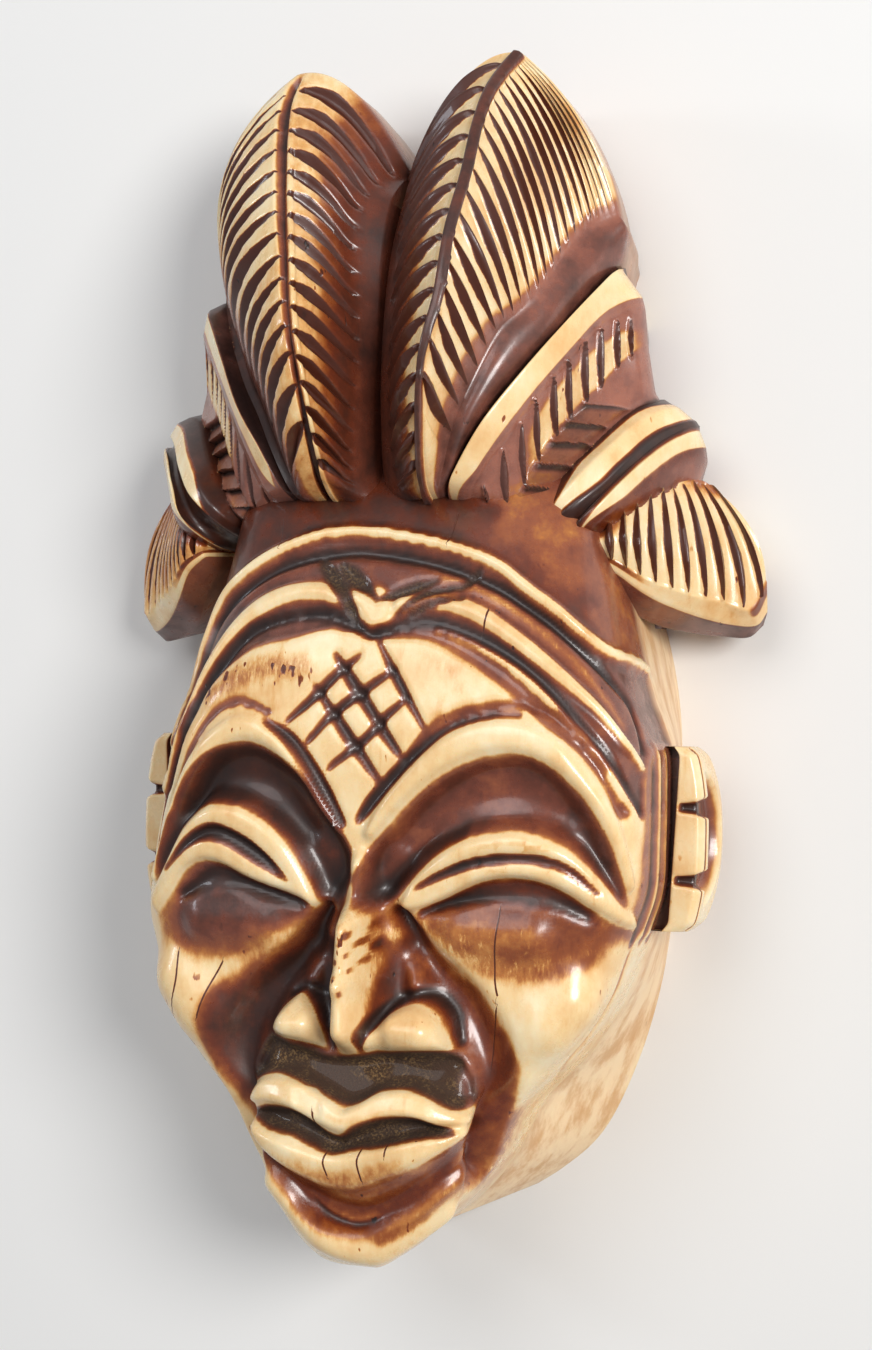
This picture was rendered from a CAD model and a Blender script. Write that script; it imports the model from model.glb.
# %% [markdown]
# A miniature mask, carved from one piece of bone and stained dark in its cuts.
# The CAD model gives its size, its box and its place. Here the same carving is made again
# with a fine grid, so that every flute, lid and lip is real relief, and then it gets its finish.
# The mask lies on its back: X runs across the face, Y from chin to crest, Z up out of the face.

# %% Load the fixed frame
import math

import bmesh
import bpy
import numpy as np
from mathutils import Matrix, Vector


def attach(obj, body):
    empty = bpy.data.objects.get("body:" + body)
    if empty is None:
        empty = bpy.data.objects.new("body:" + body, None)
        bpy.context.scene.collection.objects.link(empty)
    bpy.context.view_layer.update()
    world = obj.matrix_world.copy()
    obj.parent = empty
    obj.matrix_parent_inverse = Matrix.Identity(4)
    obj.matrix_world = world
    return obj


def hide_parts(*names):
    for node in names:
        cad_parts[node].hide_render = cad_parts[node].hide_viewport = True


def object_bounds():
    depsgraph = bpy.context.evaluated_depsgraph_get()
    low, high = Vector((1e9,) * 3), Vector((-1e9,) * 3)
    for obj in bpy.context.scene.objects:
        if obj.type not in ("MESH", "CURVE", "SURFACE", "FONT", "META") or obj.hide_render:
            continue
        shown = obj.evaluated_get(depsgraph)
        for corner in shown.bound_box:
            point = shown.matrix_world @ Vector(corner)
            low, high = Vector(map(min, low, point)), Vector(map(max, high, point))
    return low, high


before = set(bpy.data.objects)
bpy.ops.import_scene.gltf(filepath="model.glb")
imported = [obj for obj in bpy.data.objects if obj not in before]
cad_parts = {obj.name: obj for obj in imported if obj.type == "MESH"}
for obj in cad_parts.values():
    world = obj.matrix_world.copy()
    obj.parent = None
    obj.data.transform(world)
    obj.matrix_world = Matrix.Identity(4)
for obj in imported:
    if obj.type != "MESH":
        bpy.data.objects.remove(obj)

MM = 0.001
cad_low, cad_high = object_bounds()
print("CAD box in mm:", [round(c / MM, 1) for c in (*cad_low, *cad_high)])

# %% [markdown]
# The carving is drawn in millimetres from the middle of the brow line.
# The CAD part is centred on its own box, so two numbers move the drawing into the frame:
# the crest tips are the highest points of both, and the right wing reaches furthest out in both.

# %% Place of the drawing in the frame
CREST_TOP_Y = 46.3
CHIN_Y = -43.3
WING_TIP_X = 25.86
DRAWING_SHIFT = Vector((cad_high.x / MM - WING_TIP_X, cad_high.y / MM - CREST_TOP_Y, 0))
print("the drawing moves by", [round(c, 2) for c in DRAWING_SHIFT], "mm")

# %% [markdown]
# A carver follows smooth lines: the rib of the crest, the arch of a brow, the edge of a lip.
# Each is drawn here with a few points, and this helper runs a smooth line through them.
# It is a centripetal spline, the kind that doesn't overshoot where points stand close together.

# %% Smooth lines
def smooth_line(points, shares, samples=400):
    """Places at the given shares of the length of a smooth line through the points."""
    p = np.asarray(points, float)
    shares = np.clip(np.asarray(shares, float), 0, 1)
    if len(p) == 2:
        return p[0] + (p[1] - p[0]) * shares[..., None]
    ends = np.vstack([2 * p[0] - p[1], p, 2 * p[-1] - p[-2]])
    step = np.linalg.norm(np.diff(ends, axis=0), axis=1) ** 0.5
    t = np.linspace(0, len(p) - 1, samples)
    k = np.minimum(t.astype(int), len(p) - 2)
    w = (t - k)[:, None]
    p0, p1, p2, p3 = ends[k], ends[k + 1], ends[k + 2], ends[k + 3]
    d0, d1, d2 = step[k][:, None], step[k + 1][:, None], step[k + 2][:, None]
    m1 = ((p1 - p0) / d0 - (p2 - p0) / (d0 + d1) + (p2 - p1) / d1) * d1
    m2 = ((p2 - p1) / d1 - (p3 - p1) / (d1 + d2) + (p3 - p2) / d2) * d1
    line = p1 + m1 * w + (-3 * p1 + 3 * p2 - 2 * m1 - m2) * w**2 + (2 * p1 - 2 * p2 + m1 + m2) * w**3
    run = np.concatenate([[0], np.cumsum(np.linalg.norm(np.diff(line, axis=0), axis=1))])
    return np.stack([np.interp(shares * run[-1], run, line[:, c]) for c in range(p.shape[1])], -1)


print("halfway along a sharp bend:", smooth_line([(0, 0), (1, 0), (1, 1)], 0.5).round(2))

# %% [markdown]
# The dye on the real mask has soft edges, and hands have rounded every rim. Three small helpers
# stand for that: a soft step from 0 to 1, a blend of two values, and a field that is averaged with
# its neighbours. A fourth finds which way is outwards, so that a cut goes straight into the surface.

# %% Soft steps, blends and softened fields
def step_up(low, high, value):
    """0 below low, 1 above high and a soft step between them."""
    t = np.clip((value - low) / (high - low), 0, 1)
    return t * t * (3 - 2 * t)


def blend(a, b, share):
    return a + (b - a) * share


def softened(field, passes, axes=(0, 1)):
    """The same grid of values with its small forms averaged away."""
    for _ in range(passes):
        for axis in axes:
            edge = [(1, 1) if a == axis else (0, 0) for a in range(field.ndim)]
            wide = np.moveaxis(np.pad(field, edge, mode="edge"), axis, 0)
            field = np.moveaxis((wide[:-2] + 2 * wide[1:-1] + wide[2:]) / 4, 0, axis)
    return field


def outward(place):
    """Unit normals of a grid of places, with rows from crest to chin and columns from left to right."""
    normal = np.cross(np.gradient(place, axis=1), -np.gradient(place, axis=0))
    return normal / np.maximum(np.linalg.norm(normal, axis=-1, keepdims=True), 1e-9)


print("a soft step at its quarter:", round(float(step_up(0, 1, 0.25)), 3))

# %% [markdown]
# Every part of the carving is one sheet: a grid that is laid over the front, with walls that drop
# from its rim to the flat back. The grid, its walls and its floor come from bmesh operators.
# While it is built the sheet is still flat, and each corner keeps its row, column and wall ring
# as coordinates. Then all corners move to their places at once.

# %% A flat grid with walls
def flat_sheet(rows, columns, walls):
    """A closed sheet, still flat. The height of a corner is the number of its wall ring."""
    mesh = bmesh.new()
    bmesh.ops.create_grid(mesh, x_segments=columns, y_segments=rows, size=1)
    for ring in range(1, walls + 1):
        rim = [edge for edge in mesh.edges if edge.is_boundary]
        made = bmesh.ops.extrude_edge_only(mesh, edges=rim)["geom"]
        for corner in (part for part in made if isinstance(part, bmesh.types.BMVert)):
            corner.co.z = ring
    open_rim = [edge for edge in mesh.edges if edge.is_boundary]
    bmesh.ops.holes_fill(mesh, edges=open_rim, sides=0)
    return mesh


def mesh_data(name, mesh):
    """The mesh that an object can show. The bmesh it comes from is let go."""
    data = bpy.data.meshes.new(name)
    mesh.to_mesh(data)
    mesh.free()
    return data


def in_scene(name, data):
    """A new object that shows this mesh, lamp or lens."""
    made = bpy.data.objects.new(name, data)
    bpy.context.scene.collection.objects.link(made)
    return made


print("helpers for sheets are ready")

# %% [markdown]
# Each corner of a sheet also remembers how it was worked. Stain and mauve say how dark and how
# purple the dye is. Grit is the rough ground, raw the unpolished wall, rub a worn edge of the dye and
# pore an open pore. Phase and lens number the fine cuts and give their half width,
# so that the finish can draw their edges crisply.

# %% Bending a sheet into place
STAIN_FIELDS = ("stain", "mauve", "grit", "raw", "rub", "pore", "phase", "lens")
TINTS = STAIN_FIELDS[:6]


def closed_sheet(name, place, walls, fields, wall_fields):
    """A closed piece from a grid of places (mm). Each wall moves the rim further towards the back."""
    rows, columns = place.shape[0] - 1, place.shape[1] - 1
    data = mesh_data(name, flat_sheet(rows, columns, len(walls)))
    flat = np.empty(len(data.vertices) * 3, np.float32)
    data.vertices.foreach_get("co", flat)
    flat = flat.reshape(-1, 3)
    column = np.rint((flat[:, 0] + 1) / 2 * columns).astype(int)
    row = np.rint((1 - flat[:, 1]) / 2 * rows).astype(int)
    ring = np.rint(flat[:, 2]).astype(int)
    final = place[row, column].copy()
    for number, wall in enumerate(walls, 1):
        here = ring == number
        final[here] = wall(final[here], row[here] / rows, column[here] / columns)
    data.vertices.foreach_set("co", (final * MM).astype(np.float32).ravel())
    for field in STAIN_FIELDS:
        grid = np.broadcast_to(fields.get(field, 0.0), place.shape[:2])
        values = grid[row, column].astype(np.float32)
        if field in wall_fields:
            values[ring > 0] = wall_fields[field]
        data.attributes.new(field, "FLOAT", "POINT").data.foreach_set("value", values)
    mesh = bmesh.new()
    mesh.from_mesh(data)
    bmesh.ops.recalc_face_normals(mesh, faces=mesh.faces)
    mesh.to_mesh(data)
    mesh.free()
    return in_scene(name, data)


print("each corner of a sheet carries", ", ".join(STAIN_FIELDS))

# %% [markdown]
# The plain head, before any face is cut, is a row of squared arches from under the crest to the chin.
# A carver would call this the roughed-out block. Each row of the table is one arch: its level,
# the height of its middle and its reach to the left and to the right. The carver took more off
# the left temple and off the right jaw, and the chin leans a little to the left.

# %% The roughed-out head
HEAD_LEVELS = [
    (17, 12.5, 12.6, 13.7), (13, 15.6, 13.4, 15.0), (8, 18.2, 14.0, 16.2), (5, 19.5, 14.6, 16.9),
    (2, 20.4, 15.3, 17.6), (-1.5, 21.1, 15.6, 18.6), (-5, 21.5, 16.6, 19.9), (-8.5, 21.4, 17.2, 20.1),
    (-12, 21.0, 18.0, 20.1), (-15, 20.4, 18.6, 20.0), (-18, 19.9, 19.0, 19.1), (-20.5, 19.6, 18.5, 18.2),
    (-23, 19.5, 17.8, 17.2), (-27.5, 19.6, 15.4, 14.4), (-31.5, 19.8, 11.8, 10.8), (-35.5, 20.0, 9.5, 8.8),
    (-39, 20.0, 7.3, 6.0), (-41.6, 19.3, 5.3, 2.8), (CHIN_Y, 16.4, 4.0, 0.9), (CHIN_Y + 0.6, 12.0, 3.5, 0.4),
]
JAW_HEIGHT = 8.5
FACE_SQUARENESS, CROWN_SQUARENESS = 5, 3.4
HEAD_ROWS = 290
FRONT_COLUMNS, SIDE_COLUMNS, FRONT_SHARE = 226, 13, 0.86
ARCH_SAMPLES = 241
COARSE_ROWS, COARSE_COLUMNS = 180, 97


def head_block(rows, shares):
    """Places of the plain head: one row for each level, one column for each share of the arch."""
    place = []
    for y, top, left, right in smooth_line(HEAD_LEVELS, np.linspace(0, 1, rows + 1)):
        power = blend(FACE_SQUARENESS, CROWN_SQUARENESS, step_up(-6, 4, y))
        angle = np.linspace(math.pi, 0, ARCH_SAMPLES)
        x = np.where(angle > math.pi / 2, -left, right) * np.abs(np.cos(angle)) ** (2 / power)
        z = JAW_HEIGHT + (top - JAW_HEIGHT) * np.abs(np.sin(angle)) ** (2 / power)
        run = np.concatenate([[0], np.cumsum(np.hypot(np.diff(x), np.diff(z)))])
        want = (shares + 1) / 2 * run[-1]
        place.append(np.stack([np.interp(want, run, x), np.full(len(want), y), np.interp(want, run, z)], -1))
    return np.array(place)


front = np.linspace(-FRONT_SHARE, FRONT_SHARE, FRONT_COLUMNS + 1)
side = np.linspace(FRONT_SHARE, 1, SIDE_COLUMNS + 1)[1:]
columns_across = np.concatenate([-side[::-1], front, side])
head_place = head_block(HEAD_ROWS, columns_across)
coarse_head = head_block(COARSE_ROWS, np.linspace(-1, 1, COARSE_COLUMNS))
print("head grid:", head_place.shape[:2])

# %% [markdown]
# The lines of the face are drawn flat, as on the photograph, and have to be laid on the block.
# A coarse copy of the block is enough to read a height from, and is quicker to search than the fine one.

# %% Heights on the block
def arch_at(y):
    """The arch of the plain head at a level, between the two nearest rows."""
    levels = coarse_head[:, 0, 1]
    last = int(np.argmin(levels))
    row = np.interp(-y, -levels[: last + 1], np.arange(last + 1))
    k = min(int(row), last - 1)
    return blend(coarse_head[k], coarse_head[k + 1], row - k)


def head_height(x, y):
    """Height of the plain head above a place on the face."""
    arch = arch_at(y)
    return float(np.interp(x, arch[:, 0], arch[:, 2], left=JAW_HEIGHT, right=JAW_HEIGHT))


def side_x(y, z):
    """How far out the right side of the plain head is at a level and a height."""
    arch = arch_at(y)[COARSE_COLUMNS // 2 + 1:]
    return float(np.interp(-z, -arch[:, 2], arch[:, 0]))


print("the block stands", round(head_height(0, 0), 1), "mm high between the brows")

# %% [markdown]
# The face is cut with two kinds of mark. A stroke follows a line, like one pass of a gouge,
# and raises or lowers the surface along it. A patch fills the space between two lines,
# like a socket between brow and lid. Both also carry stain, because on this mask the dye
# stayed where the tool went in and was rubbed off wherever the surface stands up.
# A profile is the form that the tool leaves across a stroke, with how far the dye reaches in it.

# %% Profiles of the gouge
relief = np.zeros(head_place.shape[:2])
head_fields = {name: np.zeros(relief.shape) for name in STAIN_FIELDS}


def hump(d):
    return 0.5 + 0.5 * np.cos(math.pi * d)


PROFILES = {
    "swell": (hump, hump),
    "round": (lambda d: (1 - d * d) ** 0.75, lambda d: 1 - step_up(0.72, 1.0, d)),
    "band": (lambda d: 1 - step_up(0.45, 1.0, d), lambda d: 1 - step_up(0.7, 1.0, d)),
    "vee": (lambda d: (1 - d) ** 0.9, lambda d: 1 - step_up(0.5, 1.0, d)),
}
print("profiles, each with its form and its reach of dye:", ", ".join(PROFILES))

# %% [markdown]
# A stroke needs to know which places of the block lie near its line, how far off they are and on
# which side. That is measured in space, not on the flat drawing, so a stroke keeps its width
# where the head curves away. A wipe is the same stroke without any cut: it only lays on dye.

# %% Strokes
THINNEST_HALF = 0.04


def lifted(points):
    """Points of a line on the head, with their height filled in where they have none."""
    return np.array([p if len(p) == 4 else (p[0], p[1], head_height(p[0], p[1]), p[2]) for p in points])


def away_from(line, reach):
    """Grid places near a line, with their distance in half widths and their side of it."""
    low, high = line[:, :2].min(0) - reach, line[:, :2].max(0) + reach
    xy = head_place[..., :2]
    near = ((xy > low) & (xy < high)).all(-1)
    point = head_place[near]
    best = np.full(len(point), np.inf)
    hand = np.zeros(len(point))
    for a, b in zip(line[:-1], line[1:]):
        ab, ap = b[:3] - a[:3], point - a[:3]
        t = np.clip(ap @ ab / max(ab @ ab, 1e-9), 0, 1)
        away = np.linalg.norm(ap - t[:, None] * ab, axis=1) / np.maximum(THINNEST_HALF, blend(a[3], b[3], t))
        closer = away < best
        best[closer] = away[closer]
        hand[closer] = np.sign(ab[0] * ap[closer, 1] - ab[1] * ap[closer, 0])
    return near, best, hand


def drawn(points):
    """The smooth line of a stroke, in short steps on the block."""
    return smooth_line(lifted(points), np.linspace(0, 1, 8 * len(points)))


def paint(near, cover, marks):
    for name, value in marks.items():
        head_fields[name][near] = blend(head_fields[name][near], value, cover)


def stroke(points, height=0.0, profile="band", only=0, **marks):
    """One pass of the gouge along (x, y, half width). With only, it marks one side of the line: 1 is left."""
    line = drawn(points)
    near, distance, hand = away_from(line, line[:, 3].max() + 0.5)
    inside = (distance < 1) & ((hand == only) if only else True)
    form, cover = PROFILES[profile]
    relief[near] += np.where(inside, height * form(np.minimum(distance, 1)), 0)
    paint(near, np.where(inside, cover(np.minimum(distance, 1)), 0), marks)


def wipe(points, **marks):
    """Dye that is wiped along a line, strongest in its middle, without a cut."""
    stroke(points, 0, "swell", **marks)


def both_sides(points, *rest, **marks):
    """The same stroke on both sides of the face."""
    stroke(points, *rest, **marks)
    stroke([(-p[0], *p[1:]) for p in points], *rest, **marks)


print("strokes are at least", 2 * THINNEST_HALF, "mm wide")

# %% [markdown]
# Old bone has hairline cracks, far thinner than the grid. They aren't carved. Each place near one
# gets its signed distance to the line as its phase, and the finish draws a crisp line where
# that passes through the middle. That keeps them sharp at any size of grid.

# %% Hairline cracks
CRACK_HALF, CRACK_BAND = 0.07, 0.5


def hairline(points):
    line = drawn([(x, y, CRACK_BAND) for x, y in points])
    near, distance, hand = away_from(line, 1.2)
    away = np.minimum(distance * CRACK_BAND, CRACK_BAND)
    head_fields["phase"][near] = np.where(distance < 2, 0.5 + hand * away, head_fields["phase"][near])
    head_fields["lens"][near] = np.where(distance < 0.9, CRACK_HALF, head_fields["lens"][near])


print("a crack is", 2 * CRACK_HALF, "mm wide")

# %% [markdown]
# A socket, a lid or the gap of the mouth is an area, not a line. A patch is drawn with its upper and
# its lower edge. A place is inside when a line to its right crosses the outline an odd number of
# times, and its distance to the outline says how far down the sloping wall it lies.

# %% Patches
OUTLINE_SAMPLES = 40


def outline_of(upper, lower):
    """The edge of a patch: along the upper line, back along the lower one, and closed."""
    share = np.linspace(0, 1, OUTLINE_SAMPLES)
    around = np.vstack([smooth_line(upper, share), smooth_line(lower, share)[::-1]])
    return np.array([(x, y, head_height(x, y), 1.0) for x, y in np.vstack([around, around[:1]])])


def patch(upper, lower, height=0.0, wall=0.5, soft=0.25, **marks):
    """The space between two lines, sunk or raised behind a sloping wall."""
    line = outline_of(upper, lower)
    near, distance, _ = away_from(line, soft + 0.6)
    point = head_place[near]
    crossings = np.zeros(len(point), int)
    for a, b in zip(line[:-1], line[1:]):
        spans = (a[1] > point[:, 1]) != (b[1] > point[:, 1])
        rise = b[1] - a[1] if b[1] != a[1] else 1e-9
        crossings += spans & (point[:, 0] < a[0] + (point[:, 1] - a[1]) * (b[0] - a[0]) / rise)
    depth = np.where(crossings % 2 == 1, distance, -distance)
    relief[near] += height * step_up(0, wall, depth)
    paint(near, step_up(-soft, soft, depth), marks)


print("a patch has", 2 * OUTLINE_SAMPLES, "places round its edge")

# %% [markdown]
# Before the face, the whole block gets its ground: polished bone in front, dye on the crown
# above the headband, and darker, rubbed bone on the sides that a hand holds.

# %% Ground colours of the head
BONE = 0.1
_, head_y, head_z = np.moveaxis(head_place, -1, 0)
low_side = step_up(17.4, 15.4, head_z) * step_up(-20.5, -17, head_y)
head_fields["stain"] += BONE + (0.42 - BONE) * low_side
head_fields["mauve"] += 0.55 * low_side
head_fields["raw"] += step_up(9.6, 8.2, head_z)

STRIPE_ONE = [
    (-15.9, -5.6), (-15.2, -3.0), (-14.7, -0.5), (-14.2, 1.9), (-13.6, 4.0), (-12.6, 5.7), (-11.2, 7.0),
    (-9.3, 8.3), (-6.9, 9.4), (-4.2, 10.2), (-1.0, 10.3), (1.9, 9.9), (6.0, 9.0), (9.1, 7.8), (11.3, 6.2),
    (13.5, 4.6), (15.2, 3.1), (16.8, 1.8), (18.2, 0.2), (19.2, -2.4), (19.8, -4.6),
]
CROWN = [(-22, 20), (22, 20)]
patch(CROWN, STRIPE_ONE, soft=0.2, stain=0.68, mauve=0.05)
wipe([(10, 12, 6), (15, 8, 8), (19, 2, 8), (21, -6, 6)], stain=0.39, mauve=0.3, rub=0.2)
wipe([(-10, 12.6, 1.4), (-2, 12.8, 1.8), (3, 12.4, 1.6), (8, 11.8, 1.2)], stain=0.72, mauve=0)
print("ground laid on", relief.size, "places")

# %% [markdown]
# The headband is three cream lines with dark channels between them. They arch over the forehead
# and run together above each ear. Each channel has a crisp upper edge and fades downwards,
# because the gouge went in steeply from above and came out slowly.

# %% Lines of the headband
def widths(points, halves):
    """Gives each point of a line its half width. A few widths are spread evenly over the line."""
    half = np.interp(np.linspace(0, 1, len(points)), np.linspace(0, 1, len(halves)), halves)
    return [(p[0], p[1], h) for p, h in zip(points, half)]


CHANNEL_ONE = [
    (-16.0, -7.2), (-15.2, -3.9), (-14.5, -1.0), (-13.9, 1.4), (-13.3, 3.3), (-12.3, 4.7), (-10.7, 6.1),
    (-8.4, 7.5), (-5.3, 8.5), (-1.6, 8.9), (2.0, 8.5), (5.6, 7.7), (9.3, 6.3), (11.5, 5.0), (13.7, 3.5),
    (15.5, 1.9),
    (17.2, 0.1), (18.5, -1.9), (19.7, -5.2),
]
STRIPE_TWO_LEFT = [(-16.4, -9.0), (-15.5, -6.4), (-14.5, -3.7), (-13.7, -1.2), (-12.4, 1.1), (-10.8, 3.2),
                   (-8.6, 4.9), (-6.2, 5.8), (-4.0, 5.9), (-1.5, 5.4)]
STRIPE_TWO_RIGHT = [(2.4, 4.9), (5.3, 5.2), (8.0, 4.4), (10.3, 3.05), (12.7, 1.35), (15.0, -0.5),
                    (17.2, -2.5), (18.7, -4.4), (19.7, -6.4)]
CHANNEL_TWO = [
    (-17.2, -13.5), (-16.8, -11.3), (-15.9, -8.6), (-15.0, -6.2), (-14.2, -3.7), (-13.2, -1.5), (-11.6, 0.9),
    (-9.6, 2.9), (-6.4, 4.1), (-3.0, 4.3), (-0.6, 3.3), (0.2, 2.9), (2.4, 3.4), (4.6, 3.7), (7.4, 3.0),
    (10.9, 1.3), (13.3, -0.5),
    (15.9, -3.1), (17.5, -4.9), (18.8, -7.2), (19.7, -9.6),
]
print("headband drawn with", len(CHANNEL_ONE) + len(CHANNEL_TWO), "places along its two channels")

# %% [markdown]
# The cutting goes from broad to fine, as it does in bone: first the whole band is lowered a little,
# then the stripes are raised on it, then the channels are cut beside them. In the middle the stripes
# part round a small cream tongue, and short leaf-shaped cuts fan out from it.

# %% Headband
patch(STRIPE_ONE, CHANNEL_TWO, -0.25, 0.8, 0.2, stain=0.58, mauve=0.3)
wipe([(5, 6.9, 1.0), (8, 6.2, 1.2), (12, 3.6, 1.1), (16, 0.2, 0.9), (18.6, -3.4, 0.6)], stain=0.3, mauve=0.2,
     rub=0.8)
wipe([(-4, 7.6, 0.9), (-9, 5.6, 0.9), (-13, 2.0, 0.8)], stain=0.7, mauve=0.7)
stroke(widths(STRIPE_ONE, (0.36, 0.5, 0.45, 0.45, 0.5, 0.36)), 0.45, "round", stain=0.14, mauve=0)
stroke(widths(CHANNEL_ONE, (0.35, 0.45, 0.5, 0.5, 0.45, 0.35)), -0.6, "vee", stain=0.9, mauve=0.1)
stroke(widths(STRIPE_TWO_LEFT, (0.35, 0.5, 0.9, 0.85)), 0.5, "band", stain=BONE, mauve=0)
stroke(widths(STRIPE_TWO_RIGHT, (0.8, 0.8, 0.7, 0.5, 0.3)), 0.5, "band", stain=BONE, mauve=0)
stroke([(0.1, 5.0, 1.7), (0.6, 4.4, 1.6)], 0.4, "band", stain=BONE, mauve=0)
UNDER_RIGHT = [(0.2, 2.6, 0.3), (4.6, 3.2, 1.1), (8.9, 1.6, 1.6), (12.3, -0.8, 1.6), (14.8, -3.0, 1.6),
               (17.0, -5.6, 1.7), (18.8, -8.6, 1.6)]
UNDER_LEFT = [(-0.6, 3.1, 0.3), (-3.0, 4.1, 1.2), (-6.2, 4.0, 2.0), (-9.0, 3.2, 1.9), (-11.2, 1.4, 1.5),
              (-12.8, -0.8, 1.1), (-14.2, -3.7, 0.8), (-15.8, -8.4, 0.6)]
stroke(UNDER_RIGHT, -0.45, "band", only=-1, stain=0.4, mauve=0.35, rub=0.5)
stroke(UNDER_LEFT, -0.45, "band", only=1, stain=0.72, mauve=0.85)
stroke(widths(CHANNEL_TWO, (0.3, 0.4, 0.55, 0.55, 0.5, 0.3)), -0.55, "vee", stain=0.92, mauve=0)
LEAF_CUTS = [
    [(-4.4, 8.2, 0.3), (-3.2, 7.0, 0.75), (-1.9, 5.4, 0.65), (-0.8, 3.7, 0.2)],
    [(-2.8, 8.0, 0.3), (-1.4, 6.9, 0.75), (0.4, 5.4, 0.2)],
    [(0.5, 5.2, 0.15), (2.6, 6.1, 0.45), (4.8, 6.8, 0.15)],
    [(2.3, 4.4, 0.15), (4.0, 5.6, 0.35), (7.3, 6.6, 0.12)],
    [(3.0, 4.3, 0.15), (4.9, 5.1, 0.35), (7.0, 5.4, 0.12)],
    [(6.6, 6.2, 0.1), (7.6, 7.4, 0.25), (8.0, 7.9, 0.08)],
]
for cut in LEAF_CUTS:
    stroke(cut, -0.5, "vee", stain=0.88, grit=0.6, mauve=0)
print("headband cut with", len(LEAF_CUTS), "leaf marks in the middle")

# %% [markdown]
# A lattice of crossing cuts marks the middle of the forehead, as on the real carvings of this kind.
# Each cut is a leaf shape: the knife enters, leans in and comes out again.

# %% Lattice
LATTICE = [
    [(-3.6, -0.9, 0.15), (-1.4, -3.7, 0.53), (0.2, -5.8, 0.47), (1.7, -7.7, 0.15)],
    [(-2.2, 1.3, 0.19), (-0.6, -0.8, 0.6), (0.8, -2.6, 0.53), (2.0, -4.3, 0.5), (3.4, -6.0, 0.15)],
    [(1.0, 2.3, 0.12), (2.8, -0.6, 0.4), (5.0, -3.9, 0.12)],
    [(-5.5, -3.6, 0.19), (-3.5, -1.8, 0.43), (-1.8, 0.0, 0.43), (-0.2, 1.3, 0.12)],
    [(-3.9, -5.1, 0.19), (-2.0, -3.0, 0.43), (0.2, -1.3, 0.43), (2.5, 0.3, 0.15)],
    [(-2.2, -6.9, 0.19), (0.7, -4.6, 0.43), (2.0, -3.1, 0.38), (3.6, -1.7, 0.12)],
]
stroke([(-11.8, -1.8, 2.0), (-8.2, 0.1, 2.6), (-4.4, 0.4, 2.0)], 0.2, "swell", stain=0.31, rub=0.9, pore=1)
wipe([(4.4, 1.4, 1.8), (7.6, -0.4, 2.2), (6.0, -2.4, 2.0)], stain=0.2, rub=0.6)
for cut in LATTICE:
    stroke(cut, -0.6, "vee", stain=0.78, mauve=0.35)
print("lattice of", len(LATTICE), "cuts")

# %% [markdown]
# Brows, sockets and lids. Each brow is a cream arch with a knife groove above it and a deep dark
# socket below it. Two cream crescents with a dark groove between them make the closed lids.
# The two eyes were cut by eye and differ a little, so each has its own lines.

# %% Brows and sockets
BROW_RIGHT = [(1.0, -11.4, 0.5), (2.6, -9.2, 0.75), (4.4, -7.3, 0.95), (6.4, -5.7, 1.2), (8.9, -4.5, 1.35),
              (11.8, -4.3, 1.3), (14.2, -5.1, 1.2), (16.0, -6.6, 1.1), (17.4, -8.6, 0.95),
              (18.4, -11.5, 0.7), (19.0, -14.6, 0.5)]
BROW_LEFT = [(-1.4, -11.3, 0.3), (-2.6, -9.6, 0.5), (-4.0, -7.3, 0.7), (-5.7, -5.4, 0.9), (-7.4, -4.4, 1.0),
             (-9.4, -4.2, 1.1), (-11.2, -5.2, 1.0), (-12.9, -7.1, 0.95), (-14.4, -9.8, 0.8),
             (-15.7, -12.8, 0.6),
             (-16.9, -15.6, 0.45)]
SOCKET_RIGHT = (
    [(-0.2, -14.4), (0.9, -12.5), (2.7, -10.5), (4.3, -8.8), (6.5, -7.1), (9.3, -5.8), (12.1, -5.5),
     (14.0, -6.2), (15.6, -7.5), (17.3, -9.8), (18.4, -13.0), (18.8, -15.4)],
    [(-0.2, -16.9), (2.1, -16.6), (4.0, -14.7), (5.6, -13.1), (7.6, -11.8), (10.2, -11.1), (12.4, -11.0),
     (15.0, -11.9), (17.2, -13.9), (18.8, -16.2)],
)
SOCKET_LEFT = (
    [(-0.3, -14.6), (-0.4, -13.0), (-1.2, -11.3), (-2.5, -9.5), (-4.0, -7.4), (-6.1, -6.0), (-8.4, -5.2),
     (-11.0, -5.7), (-13.0, -7.2), (-14.5, -9.7), (-15.8, -12.9), (-16.8, -16.2)],
    [(-1.6, -17.0), (-3.2, -16.6), (-4.3, -14.2), (-5.5, -12.3), (-7.3, -10.7), (-9.4, -9.8), (-11.5, -9.8),
     (-13.3, -10.9), (-15.4, -13.9), (-17.2, -17.0)],
)
for brow in (BROW_RIGHT, BROW_LEFT):
    stroke(brow, 0.6, "band", stain=BONE, mauve=0)
patch(*SOCKET_RIGHT, -1.15, 1.1, 0.16, stain=0.55, mauve=0.25, rub=0.25)
patch(*SOCKET_LEFT, -1.15, 1.1, 0.16, stain=0.74, mauve=0.1, rub=0.2)
stroke([(3.4, -12.3, 1.3), (7.0, -9.4, 1.9), (11.4, -8.3, 2.1), (15.4, -9.8, 1.6)], -0.5, "swell",
       stain=0.47, mauve=0.3, rub=0.4)
stroke([(-4.0, -11.6, 1.3), (-7.0, -8.3, 1.7), (-11.0, -7.9, 1.8), (-14.0, -10.4, 1.3)], -0.5, "swell")
stroke([(2.0, -15.6, 1.2), (4.8, -12.9, 0.9), (7.8, -11.1, 0.6)], -0.2, "swell", stain=0.9, mauve=0)
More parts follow.
